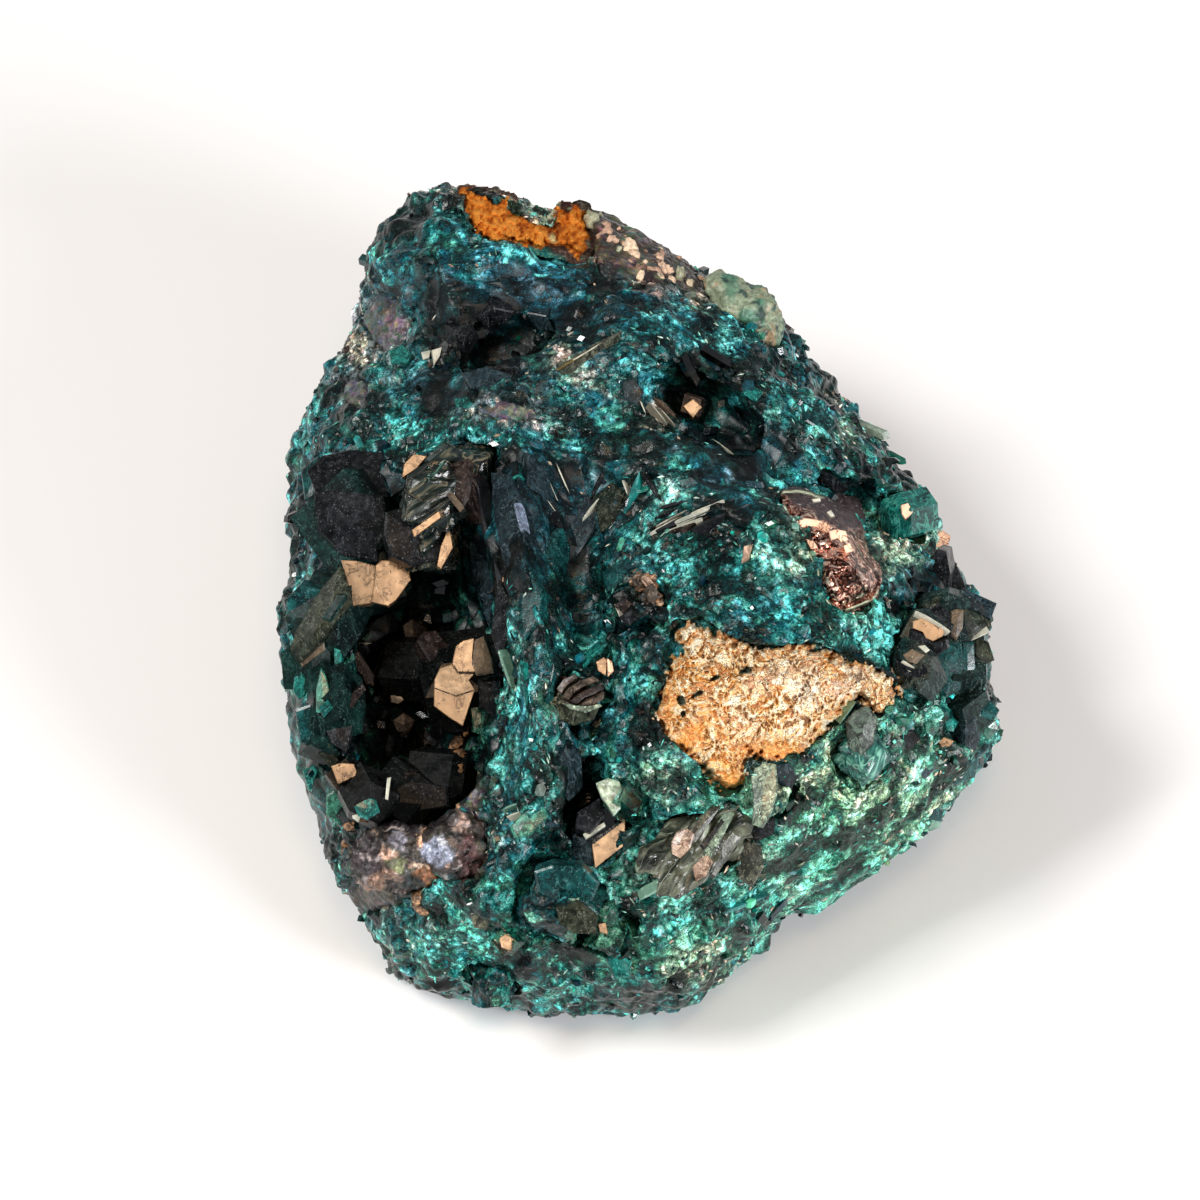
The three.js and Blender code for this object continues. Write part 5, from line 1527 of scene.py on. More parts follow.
FACET_MATERIALS = {
    "ink": PLATE_INK, "slate": PLATE_SLATE, "dteal": PLATE_TEAL, "mteal": PLATE_MID, "green": PLATE_GREEN, "band": PLATE_BAND, "tan": PLATE_TAN, "umber": PLATE_UMBER,
    "sage": PLATE_SAGE, "khaki": PLATE_OLIVE, "gold": GOLD_FACE_PAINTED_REFLECTION, "gold2": GOLD_FACE_PAINTED_REFLECTION_SHADED, "olive2": PLATE_OLIVE2, "moss": PLATE_MOSS, "shine": PAINTED_HIGHLIGHT_PLATE, "charcoal": GEM_CHARCOAL, "grey": GEM_GREY, "brown": GEM_BROWN, "olive": GEM_OLIVE,
    "teal": GEM_TEAL, "deep": GEM_DEEP, "striped": GEM_STRIPED, "pale": GEM_PALE, "peach": GEM_PEACH, "milk": GEM_MILK, "blue": GEM_BLUE, "lilac": LILAC, "bark": BARK, "palegreen": PALE_GREEN,
}
GL = (0.02, 0.12, 1.0)
# kind, way it faces (right, up, out), lift in mm, depth in mm, corners on the chart
# The gold and gold2 faces and blades are painted reflections of the warm lamp, and the shine faces painted highlights;
# most are also turned to mirror the lamp.
FACETS = [
    # the great vug, upper end
    ("ink", (-0.15, -0.10, 1.0), 0.25, 3.0, [(313, 492), (330, 490), (383, 496), (387, 520), (384, 536), (378, 545), (376, 562), (343, 556), (318, 531)]),
    ("ink", (-0.05, 0.55, 1.0), 0.10, 3.0, [(307, 470), (322, 455), (350, 449), (385, 452), (400, 462), (398, 478), (386, 494), (340, 489), (315, 490)]),
    ("dteal", (-0.40, 0.35, 1.0), 0.10, 2.0, [(300, 470), (318, 455), (330, 478), (322, 496), (304, 500)]),
    ("ink", (0.2, 0.2, 1.0), 0.05, 2.0, [(386, 512), (408, 506), (440, 508), (452, 530), (440, 560), (412, 566), (392, 556), (384, 534)]),
    ("umber", (0.0, 0.1, 1.0), 0.20, 1.2, [(388, 536), (400, 530), (404, 548), (396, 562), (386, 556)]),
    ("umber", (0.3, 0.1, 1.0), 0.20, 1.4, [(456, 470), (466, 462), (474, 476), (470, 500), (462, 512), (456, 494)]),
    ("gold", GL, 0.30, 1.2, [(402, 478), (404, 464), (414, 454), (427, 456), (417, 468)]),
    ("gold", GL, 0.35, 0.6, [(386, 520), (412, 530), (413, 535), (385, 527)]),
    ("gold", GL, 0.35, 0.6, [(412, 530), (439, 511), (441, 517), (414, 537)]),
    ("gold", GL, 0.40, 1.2, [(449, 527), (453, 547), (441, 569), (437, 566), (441, 546)]),
    ("gold2", (0.00, 0.16, 1.0), 0.36, 2.2, [(341, 560), (358, 561), (376, 566), (374, 584), (371, 603), (353, 606), (349, 588)]),
    ("gold", GL, 0.42, 2.2, [(375, 566), (381, 560), (407, 561), (411, 580), (396, 600), (388, 606), (371, 602), (373, 584)]),
    ("olive2", (0.05, 0.05, 1.0), 0.46, 1.0, [(354, 574), (360, 570), (368, 580), (362, 592), (356, 588)]),
    ("olive2", (0.05, 0.05, 1.0), 0.46, 1.0, [(366, 594), (372, 588), (375, 596), (370, 603)]),
    ("band", (-0.15, 0.05, 1.0), 0.25, 2.0, [(340, 566), (345, 575), (352, 604), (336, 622), (326, 638), (298, 664), (289, 650), (296, 630), (320, 590)]),
    ("tan", (-0.05, 0.0, 1.0), 0.35, 1.2, [(296, 655), (304, 648), (324, 641), (325, 650), (302, 667)]),
    ("dteal", (-0.10, -0.25, 1.0), 0.00, 2.0, [(286, 600), (300, 585), (322, 590), (304, 618), (286, 634)]),
    # its left wall
    ("mteal", (-0.1, -0.2, 1.0), 0.20, 1.2, [(294, 678), (302, 672), (308, 682), (305, 696), (299, 700), (293, 692)]),
    ("mteal", (-0.1, 0.0, 1.0), 0.15, 1.0, [(334, 638), (341, 636), (342, 660), (338, 674), (334, 664)]),
    ("green", (0.0, 0.1, 1.0), 0.15, 1.0, [(316, 690), (321, 668), (326, 676), (332, 700), (326, 714), (316, 712)]),
    ("mteal", (0.1, -0.2, 1.0), 0.20, 0.8, [(318, 708), (328, 700), (333, 708), (324, 718)]),
    ("dteal", (-0.05, -0.25, 1.0), 0.10, 1.6, [(295, 710), (312, 704), (322, 724), (316, 748), (300, 744)]),
    ("ink", (-0.1, 0.1, 1.0), 0.05, 1.6, [(322, 722), (340, 708), (352, 726), (346, 752), (330, 742)]),
    ("band", (-0.05, 0.05, 1.0), 0.30, 1.2, [(318, 754), (328, 741), (340, 762), (330, 768)]),
    ("gold", GL, 0.35, 1.0, [(331, 766), (340, 763), (354, 764), (358, 775), (349, 779), (338, 784)]),
    ("mteal", (-0.2, -0.1, 1.0), 0.10, 1.2, [(302, 770), (314, 766), (328, 784), (322, 798), (308, 790)]),
    ("green", (-0.0, -0.2, 1.0), 0.05, 1.8, [(326, 796), (340, 786), (356, 794), (356, 818), (338, 826), (326, 816)]),
    ("mteal", (0.1, 0.1, 1.0), 0.30, 1.4, [(354, 806), (362, 794), (376, 800), (380, 812), (368, 820), (358, 816)]),
    ("umber", (0.1, 0.0, 1.0), 0.20, 1.0, [(351, 652), (358, 650), (375, 676), (374, 686), (366, 684), (354, 664)]),
    ("umber", (0.0, -0.2, 1.0), 0.20, 1.0, [(345, 700), (362, 684), (366, 690), (352, 708), (344, 710)]),
    ("tan", (0.0, 0.1, 1.0), 0.20, 0.6, [(390, 692), (398, 690), (404, 700), (398, 704), (391, 702)]),
    ("umber", (0.1, 0.1, 1.0), 0.15, 0.8, [(392, 720), (404, 712), (416, 720), (408, 734), (396, 732)]),
    ("umber", (0.2, 0.1, 1.0), 0.15, 0.8, [(402, 625), (412, 618), (424, 626), (420, 646), (406, 644)]),
    # its right wall
    ("umber", (0.3, 0.3, 1.0), 0.30, 1.6, [(417, 640), (424, 632), (436, 630), (448, 644), (460, 652), (452, 660), (430, 662)]),
    ("gold", GL, 0.45, 2.2, [(456, 646), (464, 640), (474, 638), (472, 658), (475, 672), (458, 672), (452, 664)]),
    ("gold2", (0.04, 0.12, 1.0), 0.44, 2.2, [(452, 664), (459, 672), (475, 673), (469, 680), (475, 690), (456, 696), (434, 688), (434, 680), (440, 668)]),
    ("gold", (0.03, 0.10, 1.0), 0.43, 2.2, [(434, 687), (456, 695), (475, 690), (470, 704), (463, 726), (450, 718), (434, 706)]),
    ("tan", (0.20, 0.05, 1.0), 0.40, 1.4, [(475, 640), (484, 636), (492, 658), (494, 673), (477, 676), (472, 664)]),
    ("ink", (0.2, 0.0, 1.0), 0.10, 1.6, [(478, 678), (500, 674), (504, 700), (494, 716), (480, 708)]),
    ("green", (0.2, 0.1, 1.0), 0.10, 1.0, [(470, 708), (482, 700), (492, 716), (486, 736), (474, 732)]),
    ("ink", (0.1, 0.2, 1.0), 0.10, 2.0, [(386, 792), (410, 780), (448, 786), (450, 806), (415, 812), (388, 806)]),
    ("pale", (0.0, 0.1, 1.0), 0.45, 0.4, [(387, 778), (391, 777), (388, 800), (385, 799)]),
    # long shards right of the vug
    ("umber", None, 0.10, 1.4, [(458, 462), (470, 458), (482, 476), (490, 512), (482, 524), (468, 500)]),
    ("slate", None, 0.05, 1.6, [(468, 520), (482, 526), (494, 560), (496, 604), (488, 628), (478, 596), (470, 560)]),
    ("slate", None, 0.15, 1.6, [(490, 472), (508, 474), (520, 500), (524, 540), (514, 580), (502, 560), (494, 520)]),
    ("dteal", None, 0.05, 1.6, [(510, 578), (528, 566), (542, 590), (540, 620), (524, 640), (508, 620)]),
    ("ink", None, 0.10, 1.6, [(498, 580), (508, 600), (506, 640), (498, 660), (490, 634)]),
    ("slate", None, 0.10, 1.6, [(528, 452), (546, 466), (556, 500), (552, 530), (538, 520), (528, 490)]),
    ("dteal", None, 0.10, 1.6, [(546, 540), (562, 522), (572, 548), (566, 580), (552, 590), (542, 566)]),
    ("slate", None, 0.05, 1.6, [(566, 516), (590, 490), (602, 500), (594, 530), (576, 556), (566, 540)]),
    ("band", None, 0.10, 1.4, [(592, 496), (612, 480), (624, 492), (616, 520), (600, 532)]),
    ("mteal", None, 0.20, 0.8, [(609, 556), (613, 544), (622, 541), (623, 550), (614, 560)]),
    ("dteal", None, 0.05, 1.4, [(600, 566), (622, 550), (630, 560), (622, 580), (606, 592)]),
    # upper basin
    ("ink", None, 0.10, 1.6, [(440, 300), (458, 296), (464, 312), (450, 326), (438, 316)]),
    ("slate", None, 0.10, 1.4, [(460, 372), (486, 366), (512, 374), (500, 386), (470, 388)]),
    ("mteal", None, 0.10, 1.0, [(446, 300), (456, 294), (468, 300), (462, 308), (450, 308)]),
    ("mteal", None, 0.10, 1.0, [(454, 398), (466, 396), (474, 404), (464, 412), (455, 408)]),
    ("mteal", None, 0.10, 1.0, [(388, 350), (402, 344), (412, 354), (404, 366), (390, 362)]),
    # these two pale faces are painted highlights
    ("pale", (0.0, 0.2, 1.0), 0.25, 0.6, [(421, 352), (431, 350), (429, 358), (423, 360)]),
    ("pale", (0.2, 0.1, 1.0), 0.25, 0.6, [(432, 350), (442, 347), (440, 356), (434, 366)]),
    # crest towards the right
    ("mteal", None, 0.10, 1.0, [(742, 392), (752, 384), (764, 392), (756, 402)]),
    ("slate", None, 0.10, 1.0, [(622, 382), (634, 378), (644, 392), (636, 406), (624, 398)]),
    ("dteal", None, 0.10, 1.2, [(800, 400), (820, 404), (838, 424), (828, 434), (806, 420)]),
    # on the goethite nodule
    ("shine", GL, 0.35, 0.8, [(797, 521), (804, 518), (815, 519), (826, 522), (833, 527), (828, 534), (818, 537), (806, 537), (800, 530)]),
    ("shine", GL, 0.35, 0.6, [(829, 531), (836, 529), (846, 531), (848, 540), (842, 543), (838, 538), (831, 540)]),
    ("shine", (0.05, 0.10, 1.0), 0.40, 0.5, [(806, 539), (814, 541), (818, 548), (811, 549)]),
    ("shine", (0.0, 0.15, 1.0), 0.40, 0.5, [(843, 545), (850, 543), (853, 551), (846, 553)]),
    ("shine", (0.0, 0.12, 1.0), 0.35, 0.6, [(821, 556), (829, 554), (838, 558), (840, 566), (832, 569), (824, 566)]),
    ("shine", (-0.1, 0.05, 1.0), 0.30, 0.5, [(828, 583), (834, 586), (842, 593), (838, 597), (830, 591)]),
    # these two pale faces are painted highlights on the nodule
    ("pale", (0.1, 0.2, 1.0), 0.40, 0.4, [(827, 512), (831, 510), (835, 516), (831, 517)]),
    ("pale", (0.1, 0.2, 1.0), 0.40, 0.4, [(812, 499), (820, 498), (821, 501), (814, 502)]),
    ("gold", GL, 0.25, 1.2, [(683, 406), (693, 399), (702, 407), (693, 418)]),
    # right-hand edge
    ("ink", (-0.30, -0.25, 1.0), 0.35, 2.0, [(929, 560), (937, 549), (946, 552), (950, 574), (948, 600), (938, 592)]),
    ("ink", (0.30, 0.15, 1.0), 0.35, 2.0, [(946, 552), (956, 562), (964, 580), (970, 600), (960, 606), (949, 600), (951, 574)]),
    ("dteal", (0.25, 0.0, 1.0), 0.25, 1.6, [(963, 642), (974, 642), (976, 668), (968, 682), (962, 670)]),
    ("slate", (0.10, 0.30, 1.0), 0.35, 2.0, [(961, 589), (975, 593), (997, 603), (991, 619), (978, 612), (964, 606)]),
    ("band", (0.35, 0.00, 1.0), 0.30, 2.0, [(963, 608), (978, 613), (991, 620), (992, 628), (980, 636), (964, 640)]),
    ("tan", (0.15, 0.05, 1.0), 0.40, 1.2, [(951, 611), (957, 609), (964, 610), (963, 628), (956, 641), (950, 634)]),
    ("ink", (-0.10, 0.45, 1.0), 0.25, 1.8, [(930, 609), (938, 603), (950, 612), (951, 630), (940, 624), (926, 612)]),
    ("band", (-0.1, 0.35, 1.0), 0.35, 1.2, [(921, 606), (934, 597), (942, 595), (945, 605), (932, 611)]),
    ("gold", GL, 0.45, 1.4, [(913, 621), (922, 618), (944, 630), (943, 636), (933, 641), (926, 638), (923, 632), (913, 628)]),
    ("ink", (-0.1, -0.3, 1.0), 0.20, 1.6, [(910, 630), (922, 634), (932, 643), (948, 640), (950, 648), (932, 660), (916, 652), (908, 640)]),
    ("tan", (0.05, 0.0, 1.0), 0.35, 1.0, [(903, 655), (912, 649), (925, 655), (917, 664), (908, 662)]),
    ("pale", (0.1, 0.1, 1.0), 0.45, 0.6, [(918, 646), (925, 645), (930, 650), (926, 653)]),
    ("ink", (0.0, -0.3, 1.0), 0.20, 1.4, [(896, 660), (906, 666), (918, 670), (926, 664), (930, 672), (914, 682), (898, 672)]),
    ("dteal", (0.15, 0.05, 1.0), 0.25, 2.0, [(934, 652), (950, 643), (962, 642), (964, 664), (960, 690), (946, 698), (932, 684), (930, 664)]),
    ("band", (0.4, 0.1, 1.0), 0.20, 1.6, [(976, 636), (989, 642), (995, 660), (982, 666), (976, 654)]),
    ("dteal", (0.3, 0.2, 1.0), 0.20, 1.4, [(978, 704), (990, 700), (1000, 710), (994, 720), (980, 716)]),
    ("green", (0.3, -0.2, 1.0), 0.20, 1.4, [(982, 718), (996, 720), (1000, 730), (988, 740), (980, 730)]),
    ("gold", GL, 0.30, 0.8, [(938, 742), (944, 737), (954, 741), (950, 746), (942, 747)]),
    ("slate", None, 0.20, 1.4, [(914, 752), (922, 744), (934, 752), (936, 770), (926, 780), (916, 768)]),
    ("ink", None, 0.20, 1.2, [(900, 736), (912, 730), (922, 738), (912, 750), (902, 748)]),
    ("mteal", None, 0.25, 0.8, [(946, 722), (952, 716), (959, 722), (954, 732), (948, 730)]),
    ("green", None, 0.25, 0.8, [(926, 724), (934, 720), (941, 728), (934, 736), (927, 733)]),
    ("dteal", None, 0.20, 1.4, [(927, 806), (936, 804), (944, 812), (942, 822), (930, 820)]),
    ("milk", None, 0.25, 1.0, [(926, 822), (942, 820), (940, 828), (930, 832)]),
    ("dteal", None, 0.20, 1.6, [(944, 762), (962, 752), (980, 760), (976, 778), (956, 786)]),
    ("slate", None, 0.20, 1.6, [(966, 726), (976, 718), (982, 736), (976, 752), (966, 746)]),
    # below the ochre crust
    ("moss", (0.15, -0.05, 1.0), 0.22, 1.6, [(846, 722), (854, 712), (868, 706), (878, 718), (874, 744), (860, 758), (848, 746)]),
    ("dteal", (-0.2, 0.2, 1.0), 0.25, 1.4, [(838, 720), (848, 702), (858, 700), (848, 716), (842, 734)]),
    ("sage", (0.15, 0.25, 1.0), 0.25, 1.2, [(700, 856), (714, 828), (728, 806), (736, 812), (722, 838), (708, 862)]),
    ("khaki", (0.2, 0.1, 1.0), 0.35, 1.2, [(676, 846), (690, 826), (712, 806), (722, 806), (704, 832), (686, 856)]),
    ("khaki", (0.3, -0.1, 1.0), 0.30, 1.2, [(706, 872), (720, 846), (740, 822), (748, 830), (730, 856), (714, 880)]),
    ("khaki", (0.0, -0.1, 1.0), 0.30, 1.4, [(734, 846), (748, 838), (762, 848), (764, 868), (752, 888), (738, 878)]),
    ("ink", (0.1, 0.1, 1.0), 0.30, 1.4, [(746, 822), (758, 812), (776, 818), (774, 834), (756, 842)]),
    ("ink", (0.0, 0.2, 1.0), 0.40, 0.8, [(700, 846), (722, 818), (724, 822), (704, 850)]),
    ("slate", None, 0.15, 1.2, [(770, 770), (788, 764), (800, 776), (792, 790), (774, 790)]),
    # trench and foot
    ("slate", (-0.45, -0.1, 1.0), 0.25, 1.4, [(571, 828), (592, 838), (592, 870), (573, 864)]),
    ("ink", (0.0, 0.5, 1.0), 0.30, 1.4, [(577, 812), (600, 797), (606, 815), (590, 832), (575, 828)]),
    ("pale", (0.1, 0.3, 1.0), 0.35, 0.5, [(583, 834), (604, 822), (606, 826), (586, 839)]),
    ("gold2", (0.03, 0.155, 1.0), 0.10, 1.4, [(592, 845), (625, 820), (625, 845), (595, 868)]),
    ("gold", GL, 0.35, 0.9, [(596, 662), (604, 657), (607, 660), (606, 676), (598, 671)]),
    ("shine", (0.06, 0.14, 1.0), 0.33, 0.9, [(607, 658), (612, 661), (614, 671), (608, 677)]),
    ("slate", None, 0.15, 1.4, [(560, 760), (570, 742), (582, 752), (584, 788), (570, 802), (560, 786)]),
    ("dteal", None, 0.15, 1.2, [(588, 764), (600, 752), (610, 764), (604, 784), (592, 782)]),
    ("shine", GL, 0.25, 0.8, [(901, 505), (908, 503), (913, 512), (906, 520), (902, 514)]),
    ("shine", GL, 0.30, 0.8, [(932, 538), (942, 530), (951, 536), (948, 546), (936, 547)]),
    ("peach", (0.0, 0.1, 1.0), 0.20, 0.6, [(744, 546), (753, 544), (749, 560), (741, 565)]),
    ("peach", (-0.2, 0.1, 1.0), 0.55, 0.8, [(671, 842), (676, 832), (686, 828), (694, 834), (690, 848), (680, 858), (672, 854)]),
    ("peach", (-0.1, 0.0, 1.0), 0.55, 0.8, [(692, 868), (698, 858), (708, 855), (713, 862), (706, 876), (696, 882)]),
    ("gold", (0.02, 0.18, 1.0), 0.75, 1.4, [(499, 938), (506, 934), (512, 938), (512, 951), (501, 948)]),
    ("gold", (0.02, 0.18, 1.0), 0.60, 1.0, [(582, 926), (592, 924), (596, 931), (588, 933)]),
    ("gold", (0.02, 0.18, 1.0), 0.60, 1.0, [(598, 924), (606, 922), (608, 934), (600, 932)]),
    ("dteal", (0.0, -0.35, 1.0), 0.20, 1.4, [(534, 872), (552, 866), (584, 868), (600, 884), (592, 902), (560, 904), (538, 894)]),
    ("band", (0.1, -0.15, 1.0), 0.22, 1.2, [(556, 908), (580, 902), (598, 916), (596, 934), (574, 934), (560, 924)]),
    ("khaki", (-0.1, -0.2, 1.0), 0.15, 0.8, [(470, 914), (480, 910), (490, 918), (486, 930), (474, 928)]),
    ("mteal", (0.1, -0.1, 1.0), 0.25, 0.9, [(606, 958), (618, 952), (632, 962), (630, 978), (614, 978)]),
    ("palegreen", (0.05, 0.2, 1.0), 0.50, 1.0, [(596, 783), (608, 778), (619, 781), (624, 792), (621, 808), (614, 816), (608, 806), (601, 796)]),
    ("green", (-0.1, 0.25, 1.0), 0.30, 1.0, [(510, 826), (524, 812), (544, 806), (548, 816), (530, 834), (514, 838)]),
    ("sage", (-0.1, 0.15, 1.0), 0.40, 1.4, [(750, 770), (762, 762), (776, 764), (778, 790), (772, 812), (762, 828), (752, 824), (753, 798)]),
    ("ink", None, 0.15, 1.4, [(474, 318), (494, 308), (514, 312), (508, 324), (488, 328)]),
    ("slate", None, 0.15, 1.4, [(524, 312), (546, 316), (554, 332), (538, 330)]),
    ("ink", None, 0.15, 1.4, [(456, 330), (472, 322), (480, 338), (470, 356), (458, 350)]),
    ("bark", (-0.18, 0.20, 1.0), 0.30, 1.0, [(556, 689), (563, 679), (575, 674), (579, 677), (568, 684), (561, 694)]),
    ("bark", (0.02, 0.38, 1.0), 0.40, 1.0, [(562, 696), (569, 687), (581, 680), (593, 676), (599, 680), (586, 685), (575, 691), (569, 699)]),
    ("umber", (0.22, 0.02, 1.0), 0.34, 1.0, [(570, 701), (578, 694), (590, 688), (601, 683), (606, 688), (596, 694), (584, 698), (577, 704)]),
    ("bark", (0.10, -0.30, 1.0), 0.30, 1.0, [(578, 706), (586, 701), (597, 697), (604, 692), (604, 699), (594, 706)]),
    ("sage", (-0.05, 0.1, 1.0), 0.30, 0.8, [(562, 703), (570, 704), (584, 709), (600, 704), (602, 706), (586, 713), (570, 709)]),
    ("band", (0.0, -0.2, 1.0), 0.10, 1.2, [(556, 708), (574, 706), (600, 706), (594, 720), (574, 726), (560, 720)]),
    ("ink", (-0.2, 0.1, 1.0), 0.30, 1.0, [(612, 596), (622, 590), (628, 596), (622, 604)]),
    ("umber", (-0.2, -0.1, 1.0), 0.32, 1.0, [(613, 606), (624, 598), (632, 604), (624, 614)]),
    ("ink", (-0.2, -0.2, 1.0), 0.30, 1.0, [(618, 618), (630, 608), (638, 614), (630, 626)]),
    ("bark", (0.1, 0.0, 1.0), 0.45, 0.8, [(632, 577), (640, 571), (647, 577), (642, 586), (634, 586)]),
    ("bark", (0.2, 0.1, 1.0), 0.45, 0.8, [(645, 588), (653, 583), (659, 592), (655, 604), (648, 602)]),
]
# kind, start, end, width in px, lift in mm: slender crystals lying on the face
BLADES = [
    ("pale", (649, 533), (680, 516), 1.7, 0.35), ("pale", (674, 521), (713, 506), 1.3, 0.35), ("pale", (655, 526), (690, 508), 0.9, 0.30),
    ("pale", (668, 530), (702, 517), 0.8, 0.30), ("pale", (690, 513), (724, 499), 0.8, 0.30), ("pale", (636, 521), (656, 514), 1.6, 0.25),
    ("umber", (648, 529), (700, 503), 3.0, 0.20), ("umber", (660, 536), (714, 513), 3.0, 0.20), ("ink", (640, 525), (680, 506), 2.6, 0.20),
    ("tan", (424, 502), (446, 494), 0.6, 0.5), ("tan", (446, 494), (460, 512), 0.6, 0.5), ("tan", (406, 492), (424, 502), 0.6, 0.5),
    ("teal", (424, 482), (448, 458), 2.4, 0.8), ("milk", (434, 474), (446, 458), 1.0, 0.9), 
    ("charcoal", (648, 532), (735, 498), 4.0, 0.15), ("charcoal", (690, 528), (750, 503), 4.0, 0.10), ("charcoal", (640, 514), (700, 496), 3.6, 0.10),
    ("pale", (712, 438), (734, 454), 1.0, 0.25),
    ("pale", (650, 402), (668, 424), 2.4, 0.25), ("brown", (655, 396), (684, 424), 5.0, 0.15), ("pale", (660, 408), (676, 426), 2.0, 0.30),
    ("khaki", (528, 390), (622, 330), 3.2, 0.20), ("olive2", (535, 382), (612, 336), 1.6, 0.22), ("pale", (566, 364), (604, 341), 0.9, 0.32),
    ("lilac", (514, 503), (523, 537), 3.4, 0.30), ("pale", (548, 478), (566, 520), 1.4, 0.20), ("blue", (498, 488), (510, 545), 4.0, 0.15),
    ("charcoal", (470, 470), (492, 560), 9.0, 0.10), ("charcoal", (495, 560), (512, 640), 8.0, 0.05),
    
    ("blue", (640, 470), (615, 540), 3.5, 0.15), 
    
    ("grey", (712, 820), (742, 806), 6.0, 0.15), 
    ("ink", (800, 456), (850, 488), 5.0, 0.10),
    ("peach", (640, 578), (652, 594), 2.4, 0.45), ("pale", (614, 604), (622, 622), 0.8, 0.25),
    ("pale", (537, 466), (546, 498), 1.3, 0.25), ("pale", (546, 498), (562, 520), 1.3, 0.25), ("pale", (556, 462), (570, 494), 1.2, 0.25),
    ("pale", (598, 498), (570, 540), 1.2, 0.25), 
    ("mteal", (508, 480), (520, 474), 3.0, 0.25), ("pale", (622, 480), (628, 496), 2.0, 0.3), ("pale", (640, 520), (646, 514), 2.0, 0.3),
    ("ink", (640, 470), (660, 500), 6.0, 0.15), ("ink", (604, 470), (590, 500), 6.0, 0.15), ("mteal", (612, 640), (570, 680), 3.0, 0.2),
    ("pale", (916, 610), (951, 631), 1.6, 0.45), ("pale", (970, 641), (990, 632), 1.6, 0.45), ("pale", (899, 664), (910, 672), 1.4, 0.4),
    ("pale", (903, 660), (915, 668), 1.2, 0.4), ("slate", (884, 668), (900, 680), 3.0, 0.3), ("milk", (840, 724), (856, 702), 1.8, 0.45),
    ("milk", (366, 640), (372, 634), 1.5, 0.3), ("pale", (364, 644), (372, 643), 1.5, 0.4), ("pale", (358, 822), (362, 812), 2.2, 0.4),
    ("umber", (400, 740), (412, 726), 2.0, 0.3), ("umber", (404, 776), (418, 770), 6.0, 0.2), ("gold", (420, 700), (426, 712), 1.4, 0.2),
    ("mteal", (520, 660), (528, 720), 3.0, 0.15), ("dteal", (556, 664), (548, 730), 7.0, 0.10),
     ("pale", (640, 400), (646, 414), 2.0, 0.2),
    ("milk", (498, 650), (512, 690), 5.0, 0.15), ("milk", (500, 810), (530, 798), 4.0, 0.15),
    ("pale", (506, 816), (532, 808), 1.8, 0.25), 
    ("pale", (780, 905), (820, 880), 1.8, 0.25), ("blue", (720, 915), (770, 895), 4.0, 0.15), ("milk", (640, 900), (670, 884), 4.0, 0.15),
    
]


